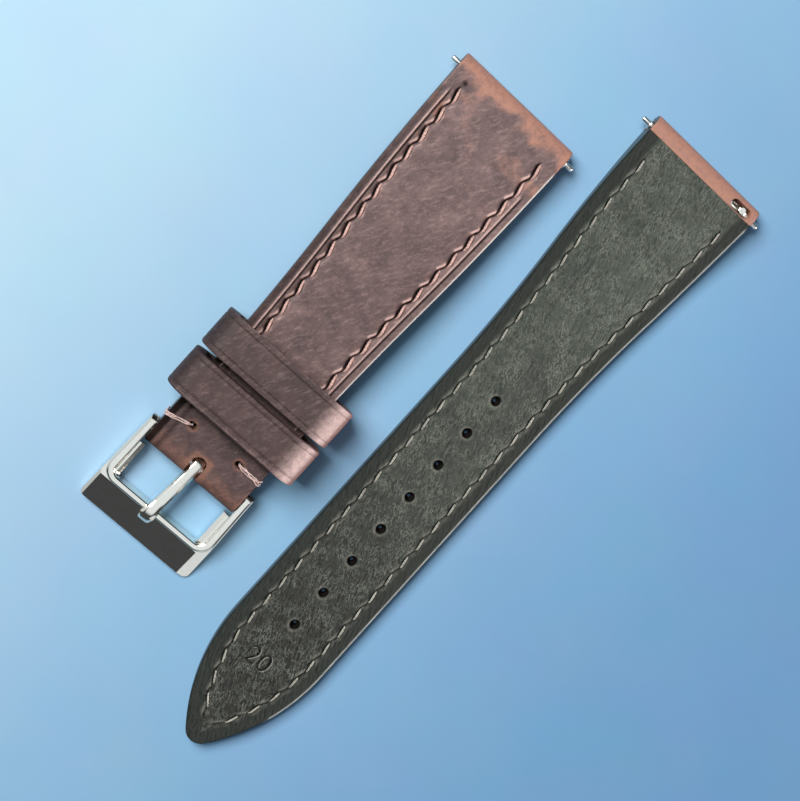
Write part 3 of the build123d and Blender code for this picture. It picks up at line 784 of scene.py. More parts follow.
tailRun = evenly(tailS, thickS - 0.04, 0.3) + evenly(thickS, foldS, 0.3)
bandRun = evenly(loopR, strap["band"], 0.2) + [strap["band"]]
shortPath = runStations(tailRun, lambda s: tailUnder, -1, "tail", tailThick)
shortPath += turnStations(foldS, foldH, foldR, -math.pi / 2, math.pi / 2, "fold")
shortPath += runStations(evenly(foldS, loopR, 0.2), shortTop, 1, "top", upperThick)
shortPath += turnStations(loopR, loopR, loopR, math.pi / 2, 3 * math.pi / 2, "lug")
shortPath += runStations(bandRun, flat, -1, "band", upperThick)


def fromTack(x, s, side):
    return math.hypot(x - side * tackHoles["x"], s - tackHoles["s"])


def shortRelief(x, s, zone):
    if zone in ("tail", "band"):
        return 0.4 * swell(x, s) - 0.012
    if zone != "top":
        return 0.5 * swell(x, s) - 0.02
    c, fade = creaseAt(x, s, shortInset(x, s))
    lift = swell(x, s) - 0.02 + pucker(shortHalf, x, s, hideRow)
    lift += (crease["ridge"] * hump(c + 0.1, 0.2) - crease["cut"] * hump(c - 0.17, 0.13)) * fade
    for side in (-1, 1):  # leather drawn in round the tack holes and under the whipped thread
        lift -= 0.16 * hump(fromTack(x, s, side), 0.75)
        lift -= 0.07 * hump(s - tackHoles["s"], 0.5) * ease(3.6, 4.6, side * x)
    return lift


# The brown face: where its rows run and its fold starts, how low it still shows, and how strong each mark is
brownFace = {"rows": (4, 6, 54, 56), "fold": 66.0, "low": 1.2}
tan = {"lug": 1.0, "fold": 0.7, "edge": 0.45, "outside": 0.5, "inside": 0.4, "patch": 0.5, "margin": 0.3,
       "tack": 0.9, "slot": 1.6}
# Pale amounts: crease is a painted highlight on one bank of each crease, patch is random pale patches
pale = {"crease": 0.95, "patch": 0.22}
# Amounts of painted shade; tail is the shadow at the fixed keeper's front edge and gap the one between the
# keepers
dark = {"length": 0.2, "buckleEnd": 0.26, "tail": 0.5, "gap": 0.62, "margin": 0.5, "inside": 0.3,
        "crease": 0.95}


# Rubbed tan: at the lug end, the fold and the edges, beside the rows, in patches and round the holes; on the
# right margin alone it is painted light
def shortWearAndLight(x, s, h):
    inset, rows = shortInset(x, s), brownFace["rows"]
    rubbed = tan["lug"] * (1 - ease(1.2, 4.4, s + 1.6 * wander(x, s, 2.0)))
    rubbed += tan["fold"] * ease(64.4, 67.6, s + 1.2 * wander(x, s, 1.3)) + tan["edge"] * hump(inset, 0.3)
    rubbed += tan["outside"] * hump(inset - 1.85, 0.28) * stretch(s, *rows)
    inside = hump(inset - 3.1, 0.4) * clamp(0.5 + 2 * wander(x, s, 1.6, 5.0))
    rubbed += tan["inside"] * inside * ease(rows[0], rows[1], s) * (s < rows[3])
    rubbed += tan["patch"] * ease(0.12, 0.45, wander(x, s, 3.2, 7.0)) * (1 - ease(9, 20, s))
    # painted light: the right margin alone turns paler tan
    rubbed += tan["margin"] * (x > 0) * (1 - ease(0.7, 1.1, inset)) * (s < rows[3])
    rubbed += sum(tan["tack"] * hump(fromTack(x, s, side) - 0.7, 0.35) for side in (-1, 1))
    offSlot = math.hypot(max(abs(x) - tangSlot["radius"], 0), max(tangSlot["front"] - s, 0))
    return rubbed + tan["slot"] * hump(offSlot, 0.5) * (abs(x) < 2.5)


# Pale: a painted highlight on one bank of each crease, pale lumps by the stitches and random pale patches
def shortBright(x, s, h):
    if h < brownFace["low"] or s > brownFace["fold"]:
        return 0.0
    c, fade = creaseAt(x, s, shortInset(x, s))
    patch = pale["patch"] * ease(0.1, 0.5, wander(x, s, 5.0, 8.0))
    return max(pale["crease"] * hump(c + 0.1, 0.16) * fade, lumpShine(shortHalf, x, s, hideRow), patch)


# Painted shade deepening towards the buckle, a step darker from under the fixed keeper to the fold, a painted
# shadow at that keeper's front edge and between the keepers, painted shade on the left margin and between
# crease and row on the left, in the slits, on one bank of each crease and in the first hole on the left
def shortShade(x, s, h):
    if h < brownFace["low"] and s < brownFace["fold"]:
        return 0.0
    inset = shortInset(x, s)
    deep = dark["length"] * ease(6, 40, s) + dark["buckleEnd"] * ease(59, 61, s)
    # a painted shadow where the fixed keeper's front edge stands over the face
    deep += dark["tail"] * hump(s - thickS, 0.7)
    # a painted shadow in the gap between the keepers
    deep += dark["gap"] * hump(s - fixedKeeperS + strap["keeperPitch"] / 2, 0.4)
    # painted shade on the left side only, away from the light
    if x < 0:
        left = dark["margin"] * (1 - ease(0.8, 1.25, inset)) + dark["inside"] * hump(inset - 1.9, 0.4)
        deep += left * ease(5, 8, s)
    if s > brownFace["fold"]:
        return deep
    c, fade = creaseAt(x, s, inset)
    first = stitching["firstHole"]
    fromFirst = math.hypot(shortEdge(first) - stitching["inset"] - abs(x), s - first)
    return max(dark["crease"] * hump(c - 0.2, 0.18) * fade, slitShade(shortHalf, x, s, hideRow), deep,
               hump(fromFirst, 0.42) * (x < 0))


# A painted highlight along the right-hand corner of the face
def paintedCornerHighlight(half, x, s, h, start, end):
    if x < 0 or h <= half["top"](s) - 0.5:
        return 0.0
    return (1 - ease(0.09, 0.28, half["inset"](x, s))) * stretch(s, start, start + 1, end, end + 1)


def shortPunch(x, s, radius, straight, levels, turn=0.0):
    return punch(onShort, x, s, radius, straight, levels, turn)


punches = [shortPunch(0, tangSlot["s"], tangSlot["radius"], tangSlot["straight"], tangSlot["levels"],
                      math.pi / 2)]
for side in (-1, 1):
    punches.append(shortPunch(side * tackHoles["x"], tackHoles["s"], tackHoles["radius"],
                              tackHoles["straight"], tackHoles["levels"]))
punches.append(shortPunch(-knobNotch["x"], loopR, knobNotch["radius"], knobNotch["straight"],
                          knobNotch["shortLevels"]))
shortUpper = finishPiece("shortUpper", carve(leather(shortHalf, shortPath, shortRelief), punches), brownHide,
                         "short_half", ["short_upper"])
paintPoints(shortUpper, fromShort, {
    "wearAndLight": shortWearAndLight, "bright": shortBright, "shade": shortShade,
    "edge": lambda x, s, h: 0.9 * paintedCornerHighlight(shortHalf, x, s, h, 4, 53)})
print("upper of the buckle half cut and folded")


# Straight punches for the hidden leather of the buckle half; mouth widens its tack holes below
def insidePunches(mouth):
    cuts = [shortPunch(0, tangSlot["s"], tangSlot["radius"], tangSlot["insideStraight"], [(-2, 0), (3, 0)],
                       math.pi / 2)]
    return cuts + [shortPunch(side * tackHoles["x"], tackHoles["s"], tackHoles["insideRadius"], 0,
                              [(-2, mouth), (3, 0)]) for side in (-1, 1)]


# Filler board: plain faces between a level and a height
def plainBoard(half, start, end, step, low, high):
    places = evenly(start, end, step) + [end]
    stations = runStations(places, high, 1, "inside", lambda s: high(s) - low)
    return leather(half, stations, lambda x, s, zone: 0.0, 6)


# The lining of the buckle half faces down, so its stations run on the lower side
def shortUnderRelief(x, s, zone):
    return 0.3 * swell(x, s) + pucker(shortHalf, x, s, underRow) - 0.018


def liningThick(s):
    return strap["lining"]


def bare(x, s, h):
    return 0.0


innerEnd = foldS - foldBoreR - 0.15
liningRun = evenly(strap["band"] + 0.04, innerEnd, 0.25) + [innerEnd]
hide = leather(shortHalf, runStations(liningRun, flat, -1, "under", liningThick), shortUnderRelief)
shortLining = finishPiece("shortLining", carve(hide, insidePunches(0.3)), greyHide, "short_half",
                          ["short_lining"])
paintPoints(shortLining, fromShort, {
    "along": lambda x, s, h: s / 70, "band": lambda x, s, h: 1 - ease(1.2, 2.2, shortInset(x, s)),
    "pale": bare, "edge": bare,
    "shade": lambda x, s, h: slitShade(shortHalf, x, s, underRow) if h < 0.4 else 0.0})
fillerS = loopR + strap["barBore"] + 0.15
hide = plainBoard(shortHalf, fillerS, innerEnd, 1.5, strap["lining"],
                  lambda s: shortTop(s) - strap["upper"] - 0.03)
finishPiece("shortFiller", carve(hide, insidePunches(0)), board, "short_half", ["short_filler"])

# Painted edges: thin crowned skins between two lines on one side of a half, sunk a little into the leather
coat = {"crown": 0.045, "sunk": 0.04, "gap": 0.12, "topGap": 0.13, "lap": 0.94, "boreGap": 0.05,
        "lugStart": 2.84, "sideStart": 2.86, "sideEnd": 66.45, "foldIn": 0.76, "foldOut": 1.57,
        "under": -0.88}


# Once round the coat's section: the share between its lines and how far it stands out
def coatAt(j):
    if j > 8:
        return (16 - j) / 8, -coat["sunk"]
    return j / 8, coat["crown"] * math.sin(math.pi * j / 8) ** 0.5 if 0 < j < 8 else 0.0


def edgeSkin(half, side, lines):
    def place(i, j):
        (s0, h0), (s1, h1) = lines[i]
        share, bulge = coatAt(j)
        s = lerp(s0, s1, share)
        return half["at"](side * (half["edge"](s) + bulge), s, lerp(h0, h1, share))
    return skin(len(lines) - 1, 16, place)


def turnLines(centreS, centreH, inner, outer, start, end):
    angles = [lerp(start, end, k / 24) for k in range(25)]
    return [((centreS + inner * math.cos(a), centreH + inner * math.sin(a)),
             (centreS + outer * math.cos(a), centreH + outer * math.sin(a))) for a in angles]


# The upper's edge at the lug end: along its top, round the bar and back to the end of the turned band
def lugLines(top):
    run = evenly(coat["lugStart"], loopR, 0.2)
    lines = [((s, top(s) - coat["lap"]), (s, top(s) - coat["gap"])) for s in run]
    lines += turnLines(loopR, loopR, strap["barBore"] + coat["boreGap"], loopR - coat["gap"], math.pi / 2,
                       3 * math.pi / 2)
    return lines + [((s, coat["lap"]), (s, coat["gap"])) for s in reversed(run)]


# The upper's edge where it leaves the lining, round the fold and under it
foldLines = [((s, foldH + coat["foldIn"]), (s, foldH + coat["foldOut"])) for s in (coat["sideEnd"], 66.9)]
foldLines += turnLines(foldS, foldH, coat["foldIn"], coat["foldOut"], math.pi / 2, -math.pi / 2)
foldLines += [((s, foldH - coat["foldIn"]), (s, coat["under"])) for s in (66.5, 65.0, 63.0, 61.0)]
mainRun = evenly(coat["sideStart"], coat["sideEnd"], 0.4) + [coat["sideEnd"]]
mainLines = [((s, coat["gap"]), (s, shortTop(s) - coat["topGap"])) for s in mainRun]
skins = [edgeSkin(shortHalf, side, lines) for side in (-1, 1)
         for lines in (lugLines(shortTop), mainLines, foldLines)]


# A painted highlight along the coat's top rim on the right
def paintedCoatHighlight(half, x, s, h, depth, places):
    return (x > 0) * ease(depth, depth / 2, half["top"](s) - h) * stretch(s, *places)


edges = finishPiece("shortEdgePaint", gather(skins), brownEdge, "short_half", [])
paintPoints(edges, fromShort, {
    "edge": lambda x, s, h: 0.95 * paintedCoatHighlight(shortHalf, x, s, h, 0.7, (4, 5, 53, 54))})
print("buckle half lined, filled and painted at its edges")


# Leather pieces of the long half

bandRun = evenly(loopR, strap["band"], 0.15) + [strap["band"]]
longPath = runStations(tipPlaces(loopR, 0.25)[::-1], flat, -1, "under", upperThick)
longPath += turnStations(loopR, loopR, loopR, -math.pi / 2, -3 * math.pi / 2, "lug")
longPath += runStations(bandRun, longTop, 1, "band", upperThick)
buckleHoles = {"count": 8, "first": 45.0, "pitch": 6.1, "radius": 0.75,
               "levels": [(-0.6, -0.4), (0.0, -0.48), (0.5, -0.5), (0.95, -0.3), (1.1, 0), (1.86, 0),
                          (2.0, 0.1), (2.5, 0.4)]}
holePlaces = [buckleHoles["first"] + k * buckleHoles["pitch"] for k in range(buckleHoles["count"])]


def holePunches():
    return [punch(onLong, 0, s, buckleHoles["radius"], 0, buckleHoles["levels"]) for s in holePlaces]


def longUnderRelief(x, s, zone):
    return 0.3 * swell(x, s) - 0.018 + (pucker(longHalf, x, s, underRow) if zone == "under" else 0.0)


# Tan on the turned band and along the edge
def longWear(x, s, h):
    return 1 - ease(3.0, 5.0, s + 0.8 * wander(x, s, 2)) + 0.4 * hump(longInset(x, s), 0.5)


# Dark in the slits below, and inside holes and bore where no light gets
def longUnderShade(x, s, h):
    if s <= 5:
        return 0.0
    slits = slitShade(longHalf, x, s, underRow) if h < 0.5 else 0.0
    return max(slits, 0.95 * (h > 0.12 and longInset(x, s) > 1))


notch = punch(onLong, knobNotch["x"], loopR, knobNotch["radius"], knobNotch["straight"],
              knobNotch["longLevels"])
hide = leather(longHalf, longPath, longUnderRelief)
longUpper = finishPiece("longUpper", carve(hide, holePunches() + [notch]), brownHide, "long_half",
                        ["long_upper"])
paintPoints(longUpper, fromLong, {"wearAndLight": longWear, "bright": lambda x, s, h: 0.35 * (s < 4), "edge": bare,
                                  "shade": longUnderShade})


def longRelief(x, s, zone):
    inset = longInset(x, s)
    lift = 0.8 * swell(x, s) + 0.05 * ease(1.2, 3.2, inset) - 0.05
    lift += 0.02 * wander(x * 1.6, s, 0.9, 3.0) * ease(2.4, 3.6, inset)
    return lift + pucker(longHalf, x, s, liningRow)


# The size number pressed into the lining near the tip: generic digits, cut shallow, with a wider rim
number = {"digits": "20", "height": 2.9, "capShare": 0.72, "x": -0.6, "s": 94.9, "deep": 0.24, "rim": 0.1,
          "rimShift": 0.14}


def sizeNumber(depth, x):
    text = bpy.data.curves.new("size", "FONT")
    text.body, text.size, text.extrude = number["digits"], number["height"] / number["capShare"], depth
    text.align_x = text.align_y = "CENTER"
    holder = bpy.data.objects.new("size", text)
    bpy.context.scene.collection.objects.link(holder)
    bpy.context.view_layer.update()
    shape = bpy.data.meshes.new_from_object(holder.evaluated_get(bpy.context.evaluated_depsgraph_get()))
    bpy.data.objects.remove(holder)
    bm = bmesh.new()
    bm.from_mesh(shape)
    bpy.data.meshes.remove(shape)
    bmesh.ops.remove_doubles(bm, verts=bm.verts, dist=0.0005)
    bmesh.ops.translate(bm, vec=onLong(x, number["s"], longTop(number["s"])), verts=bm.verts)
    return bm


stations = runStations(tipPlaces(strap["band"] + 0.04, 0.22), longTop, 1, "top", liningThick)
hide = leather(longHalf, stations, longRelief, 34)
hide = carve(hide, holePunches() + [sizeNumber(number["deep"], number["x"])])
hide = carve(hide, [sizeNumber(number["rim"], number["x"] + number["rimShift"])])
longLining = finishPiece("longLining", hide, greyHide, "long_half", ["long_lining"])


# A painted highlight round each hole, set off centre towards one side
def holeRim(x, s):
    return max(hump(math.hypot(x + 0.12, s - at - 0.12) - 0.85, 0.16) for at in holePlaces)


def inNumber(x, s):
    return abs(x - number["x"]) < 4 and abs(s - number["s"]) < 3


# Painted highlights: on the shallow rim that shows beside the digits, on the stitch lumps and round the holes
def longPale(x, s, h):
    if inNumber(x, s) and 0.075 < longTop(s) - h < 0.125:
        return 0.75
    return max(0.24 * lumpShine(longHalf, x, s, liningRow), 0.25 * holeRim(x, s)) if h > 1.6 else 0.0


# Painted shade in the slits, in the number and down the holes
def longShade(x, s, h):
    if h > 1.6 and longTop(s) - h < 0.14:
        return 0.85 * slitShade(longHalf, x, s, liningRow)
    return (0.5 if inNumber(x, s) and h > 1.6 else 0.95) * (longInset(x, s) > 1 and longTop(s) - h > 0.14)


paintPoints(longLining, fromLong, {
    "along": lambda x, s, h: ease(20, 100, s), "band": lambda x, s, h: 1 - ease(1.6, 2.25, longInset(x, s)),
    "pale": longPale, "shade": longShade,
    "edge": lambda x, s, h: 0.7 * paintedCornerHighlight(longHalf, x, s, h, 3, 100)})
hide = plainBoard(longHalf, fillerS, strap["fillerEnd"], 0.8, strap["upper"],
                  lambda s: longTop(s) - strap["lining"] - 0.01)
finishPiece("longFiller", hide, board, "long_half", ["long_filler"])


# One coat down the left side, round the tip and up the right, square to the edge all the way
def tipCoat():
    run = tipPlaces(coat["sideStart"], 0.3)[:-1]
    spots = [(-longEdge(s), s) for s in run] + [(0.0, strap["longLength"])]
    spots += [(longEdge(s), s) for s in reversed(run)]

    def place(i, j):
        x, s = spots[i]
        before, after = spots[max(i - 1, 0)], spots[min(i + 1, len(spots) - 1)]
        way = Vector((before[1] - after[1], after[0] - before[0])).normalized()
        share, bulge = coatAt(j)
        h = lerp(coat["gap"], longTop(s) - coat["topGap"], share)
        return onLong(x + way.x * bulge, s + way.y * bulge, h)
    return skin(len(spots) - 1, 16, place)


skins = [edgeSkin(longHalf, side, lugLines(longTop)) for side in (-1, 1)] + [tipCoat()]
edges = finishPiece("longEdgePaint", gather(skins), greyEdge, "long_half", [])
paintPoints(edges, fromLong, {
    "edge": lambda x, s, h: 0.9 * paintedCoatHighlight(longHalf, x, s, h, 0.6, (3, 4, 100, 102))})
print("long half cut, folded, lined and painted at its edges")


# Thread

threads = {"tack": 0.09, "leftLean": 1.0, "rightLean": 0.1, "fan": 0.2, "apart": 0.07, "sides": 8,
           "twist": 5.2, "tackPath": [(4.25, -1.25), (8.23, -1.25), (8.23, 2.6), (4.25, 2.6)],
           "tackMiddle": (6.3, 0.7)}


def threadTube(spots, ups, radii, closed=False):
    count, sides = len(spots), threads["sides"]

    def place(i, j):
        before = spots[i - 1 if closed or i else 0]
        after = spots[(i + 1) % count if closed else min(i + 1, count - 1)]
        way = (after - before).normalized()
        over = way.cross(ups[i]).normalized()
        up = over.cross(way)
        angle = 2 * math.pi * j / sides
        ply = 1 + 0.16 * math.cos(2 * (angle - threads["twist"] * i / 4))
        return spots[i] + (over * math.cos(angle) + up * math.sin(angle)) * radii[i] * ply
    return skin(count if closed else count - 1, sides, place, ring=closed)


# One stitch along its row on a face, diving into the leather at both ends
def stitchTube(at, face, sign, ends, style, side, ply):
    (s0, x0), (s1, x1) = ends
    spots, radii = [], []
    uneven = random.uniform(-0.04, 0.04)
    for n in range(13):
        t = n / 12
        share = lerp(-0.06, 0.66 + uneven, t)
        across = zigzag(clamp(share), style["swing"]) + style["offset"] + ply * math.sin(math.pi * t) ** 0.5
        s = lerp(s0, s1, share)
        rise = style["rise"] - 0.5 * abs(2 * t - 1) ** 3
        spots.append(at(side * lerp(x0, x1, share) + across, s, face(s) + sign * rise))
        radii.append(style["thread"] * (0.6 + 0.4 * math.sin(math.pi * t)) * (1 + 2 * uneven))
    return threadTube(spots, [Vector((0, 0, sign))] * 13, radii)


def rowOfThread(half, face, sign, row, style, side):
    return [stitchTube(half["at"], face, sign, ends, style, side, ply) for ends in zip(row, row[1:])
            for ply in style["plies"]]


for name, side, node in (("shortStitchingLeft", -1, "short_stitching_left"),
                         ("shortStitchingRight", 1, "short_stitching_right")):
    tubes = rowOfThread(shortHalf, shortTop, 1, shortHalf["row"], hideRow, side)
    tubes += rowOfThread(shortHalf, flat, -1, shortHalf["row"][:-1], underRow, side)
    finishPiece(name, gather(tubes), brownThread, "short_half", [node], 60)
tubes = []
for side in (-1, 1):
    tubes += rowOfThread(longHalf, longTop, 1, longHalf["row"], liningRow, side)
    tubes += rowOfThread(longHalf, flat, -1, longHalf["row"], underRow, side)
finishPiece("longStitching", gather(tubes), greyThread, "long_half", ["long_stitching"], 60)


# Worn strands whipped over the edge beside the buckle, through the tack hole; they fan out at the edge
def tackLoop(side, lean, k):
    corners = [(x, h, lean + threads["fan"] * k if x > threads["tackMiddle"][0] else 0.0)
               for x, h in threads["tackPath"]]
    middle = Vector(threads["tackMiddle"])
    spots, ups = [], []
    for n in range(60):
        (x, h, s), (nextX, nextH, nextS) = corners[n // 15], corners[(n // 15 + 1) % 4]
        t = n % 15 / 15
        px, ph, ps = lerp(x, nextX, t), lerp(h, nextH, t), lerp(s, nextS, t)
        pinch = 0.26 * (2 * abs(t - 0.5)) ** 8  # rounds the four corners
        stray = noise.noise_vector(Vector((n * 0.3, (k + 2) * 7.7, side * 3.1))) * 0.24
        px += math.copysign(pinch, middle.x - px) + 0.3 * min(stray.x, 0)
        ph += math.copysign(pinch + 0.5 * abs(stray.z), middle.y - ph)
        spots.append(onShort(side * px, tackHoles["s"] + threads["apart"] * k + ps + stray.y, ph))
        ups.append(Vector((side * (px - middle.x), 0, ph - middle.y)).normalized())
    return threadTube(spots, ups, [threads["tack"]] * len(spots), closed=True)


for name, side, lean, node in (("edgeTackLeft", -1, threads["leftLean"], "edge_tack_left"),
                               ("edgeTackRight", 1, threads["rightLean"], "edge_tack_right")):
    strands = gather([tackLoop(side, lean, k) for k in (-1, 0, 1)])
    finishPiece(name, strands, tackThread, "short_half", [node], 60)
print("rows stitched and edges tacked")


# Keepers

keepers = {"width": 6.0, "innerW": 18.7, "thick": 1.8, "innerTop": 5.1, "bend": 3.0, "rim": 0.2,
           "line": 0.85, "lineDepth": 0.07, "lineWidth": 0.09,
           "columns": [0, 0.03, 0.09, 0.2, 0.35, 0.5, 0.65, 0.75, 0.85, 0.95, 1.1, 1.4, 1.8, 2.2, 2.6, 3.0]}


# Points round a rounded rectangle in (x, h), the same number on every part of it
def roundedBox(width, low, high, radius):
    half = width / 2
    centres = [(half - radius, low + radius, -90), (half - radius, high - radius, 0),
               (radius - half, high - radius, 90), (radius - half, low + radius, 180)]
    points = []
    for k, (x, h, start) in enumerate(centres):
        for n in range(11):
            angle = math.radians(start + 9 * n)
            points.append(Vector((x + radius * math.cos(angle), h + radius * math.sin(angle))))
        nextX, nextH, nextStart = centres[(k + 1) % 4]
        turn = math.radians(nextStart)
        goal = Vector((nextX + radius * math.cos(turn), nextH + radius * math.sin(turn)))
        steps = 18 if k % 2 else 5
        points += [points[-1].lerp(goal, n / steps) for n in range(1, steps)]
    return points


def keeperLoop(at, innerLow, outerLow):
    thick, top, half = keepers["thick"], keepers["innerTop"], keepers["width"] / 2
    outside = roundedBox(keepers["innerW"] + 2 * thick, outerLow, top + thick, keepers["bend"])
    inside = roundedBox(keepers["innerW"], innerLow, top, keepers["bend"] - thick)
    across = [v - half for v in keepers["columns"]] + [half - v for v in reversed(keepers["columns"][:-1])]
    backs = [1.0, 0.5, 0.0, -0.5, -1.0]

    def place(i, j):
        if j >= len(across):
            return at(inside[i].x, backs[j - len(across)] * (half - 0.06), inside[i].y)
        v = across[j]
        fromRim = half - abs(v)
        lift = -cornerDrop(fromRim, keepers["rim"])
        lift -= keepers["lineDepth"] * hump(fromRim - keepers["line"], keepers["lineWidth"])
        lift += 0.03 * wander(outside[i].x, v + outside[i].y, 3.0, 6.0) - 0.03
        spot = outside[i] + (outside[i] - inside[i]).normalized() * lift
        return at(spot.x, v, spot.y)
    return skin(len(outside), len(across) + len(backs), place, ring=True)


restingKeeper = onShort(0, slidingKeeperS, 0)


def onFixedKeeper(x, v, h):
    return onShort(x, fixedKeeperS + v, h - 0.02)


def onSlidingKeeper(x, v, h):
    return restingKeeper + Vector((x, -v, h))


# Painted light from the right: a painted highlight over the right bend with tan below it, and painted shade
# on the left end; rubbed tan and pale along the rims, dark along the pressed lines
def keeperWearAndLight(x, y, h):
    return 0.85 * ease(9.9, 11.0, x) + 0.2 * hump(keepers["width"] / 2 - abs(y), 0.2)


def keeperBright(x, y, h):
    bend = 0.84 * ease(6.0, 10.1, x) * (1 - 0.55 * ease(10.1, 11.1, x)) * ease(3.0, 5.0, h)
    return max(bend, 0.32 * hump(keepers["width"] / 2 - abs(y) - 0.05, 0.1))


def keeperShade(x, y, h):
    line = 0.35 * hump(keepers["width"] / 2 - abs(y) - keepers["line"], 0.08) * (h > 5.5)
    return max(line, 0.5 * ease(7.0, 10.8, -x))


for name, at, innerLow, outerLow, body, node in (
        ("fixedKeeper", onFixedKeeper, 0.0, -0.5, "short_half", "fixed_keeper"),
        ("slidingKeeper", onSlidingKeeper, -0.4, -1.6, "sliding_keeper", "sliding_keeper")):
    loop = keeperLoop(at, innerLow, outerLow)
    piece = finishPiece(name, loop, keeperHide, body, [node], 50)
    middle = at(0, 0, 0)
    paintPoints(piece, lambda co: (co.x - middle.x, co.y - middle.y, co.z - middle.z), {
        "wearAndLight": keeperWearAndLight, "bright": keeperBright, "edge": bare, "shade": keeperShade})
print("keepers closed")


# Steel pieces

# A turned part: its (along, radius) outline spun about the X axis
def turnedPart(outline):
    bm = bmesh.new()
    verts = [bm.verts.new((x, 0, r)) for x, r in outline]
    edges = [bm.edges.new(pair) for pair in zip(verts, verts[1:])]
    bmesh.ops.spin(bm, geom=verts + edges, cent=(0, 0, 0), axis=(1, 0, 0), angle=2 * math.pi, steps=40,
                   use_merge=True)
    bmesh.ops.remove_doubles(bm, verts=bm.verts, dist=0.001)
    return bm


def setDown(bm, turn, place):
    bmesh.ops.transform(bm, matrix=Matrix.Translation(place) @ turn, verts=bm.verts)
    return bm


lugBar = {
    "fixedTip": [(7.6, 0), (7.6, 0.6), (9.3, 0.6), (9.3, 0.4), (9.95, 0.4), (9.95, 0.68), (10.02, 0.78),
                 (10.2, 0.8), (10.3, 0.74), (10.34, 0.56), (10.38, 0.4), (11.4, 0.4), (11.53, 0.32),
                 (11.6, 0.16), (11.6, 0)],
    "pin": [(7.0, 0), (7.0, 0.56), (9.9, 0.56), (9.93, 0.4), (11.1, 0.4), (11.23, 0.32), (11.3, 0.16),
            (11.3, 0)],
    "knob": [(0.3, 0), (0.3, 0.28), (1.06, 0.28), (1.1, 0.52), (1.17, 0.62), (1.26, 0.65), (1.5, 0.65),
             (1.62, 0.61), (1.69, 0.5), (1.71, 0.36), (1.68, 0.18), (1.67, 0)],
    "knobX": 7.7,
}
# For each half: the side of its release tip, and whether its knob shows above or below
for name, at, side, up in (("short", onShort, -1, -1), ("long", onLong, 1, 1)):
    centre = at(0, loopR, loopR)
    out, away = [Matrix.Rotation(turn, 4, "Z") for turn in ((0, math.pi) if side > 0 else (math.pi, 0))]
    lift = (at(0, loopR, loopR + up) - centre).to_track_quat("X", "Y").to_matrix().to_4x4()
    knobAt = at(side * lugBar["knobX"], loopR, loopR)
    finishPiece(name + "BarFixedTip", setDown(turnedPart(lugBar["fixedTip"]), away, centre), turned,
                name + "_half", [name + "_bar_fixed_tip"])
    finishPiece(name + "BarPin", setDown(turnedPart(lugBar["pin"]), out, centre), turned,
                name + "_release", [name + "_bar_release_pin"])
    finishPiece(name + "BarKnob", setDown(turnedPart(lugBar["knob"]), lift, knobAt), polished,
                name + "_release", [name + "_bar_release_knob"])

# The buckle lies on its front edge; its own y runs back from the bar and z out of its face
buckle = {
    "rear": 2.0, "front": 13.5, "thick": 2.3, "half": 9.2, "flare": 0.5, "cornerR": 0.8, "bed": 0.86,
    "apron": 9.2, "lip": 0.95, "leftCrease": 9.2, "rightCrease": 8.05, "sideSlope": 0.47, "rimTop": 1.15,
    "rimCrown": 0.43, "rimFoot": -0.3, "armEnd": 2.3, "bore": 0.45, "boreEnd": 8.95, "recess": 2.25,
    "recessHalf": 8.15, "softEdge": 0.1,
    "inside": (7.15, 8.2, 0.6), "mouth": (9.2, 8.36, 1.8),  # half width, depth and corner of the window
}
buckleAxis = onShort(0, foldS, foldH)
buckleTilt = math.asin((buckleAxis.z - buckle["thick"] / 2) / buckle["front"])
buckleSeat = Matrix.Rotation(buckleTilt, 4, "X")


def flareAt(y):
    return buckle["half"] + buckle["flare"] * clamp((1 - y) / (1 + buckle["front"]))


def mirrored(points):
    return points + [(-x, y) for x, y in reversed(points) if x > 0]


def roundTo(centreX, centreY, acrossR, alongR, steps):
    angles = [math.pi / 2 * k / steps for k in range(steps + 1)]
    return [(centreX + acrossR * math.cos(a), centreY - alongR * math.sin(a)) for a in angles]


# A block between two outlines of equal count, or one outline pushed straight up
def block(lower, upper, low, high):
    rows = [[Vector((x, y, z)) for x, y in points] for points, z in ((lower, low), (upper, high))]
    return skin(1, len(lower), lambda i, j: rows[i][j])


# The blank: a plate cut to outline, its front planed down to a lip and both front corners planed off
corner, past = buckle["cornerR"], 3.0  # past: how far a cut runs beyond the arms' ends
frontHalf = flareAt(-buckle["front"])
outline = mirrored([(buckle["half"], buckle["rear"])]
                   + roundTo(frontHalf - corner, corner - buckle["front"], corner, corner, 8))
blank = block(outline, outline, -buckle["thick"] / 2, buckle["bed"])
fall = (buckle["bed"] + buckle["thick"] / 2 - buckle["lip"]) / (buckle["front"] - buckle["apron"])
slope = buckle["sideSlope"]
for x, lean in ((0, 0), (buckle["rightCrease"], slope), (-buckle["leftCrease"], -slope)):
    bmesh.ops.bisect_plane(blank, geom=blank.verts[:] + blank.edges[:] + blank.faces[:], dist=0.0001,
                           plane_co=(x, -buckle["apron"], buckle["bed"]), plane_no=(lean, -fall, 1),
                           clear_outer=True)
    bmesh.ops.holes_fill(blank, edges=[e for e in blank.edges if e.is_boundary], sides=0)
bmesh.ops.recalc_face_normals(blank, faces=blank.faces)
ridges = [e for e in blank.edges if e.is_manifold and e.calc_face_angle() > math.radians(30)]
bmesh.ops.bevel(blank, geom=ridges, offset=buckle["softEdge"], offset_type="OFFSET", segments=3, profile=0.5,
                affect="EDGES", material=-1, clamp_overlap=True)


# One line of the rim: down an arm, round the front corner and across to the other side
def rimLine(armAt, turnX, turnY, alongR):
    points = [(armAt(y), y) for y in [lerp(buckle["armEnd"], turnY, k / 15) for k in range(15)]]
    points += roundTo(turnX, turnY, armAt(turnY) - turnX, alongR, 12)
    return mirrored(points + [(turnX * (1 - k / 12), turnY - alongR) for k in range(1, 13)])


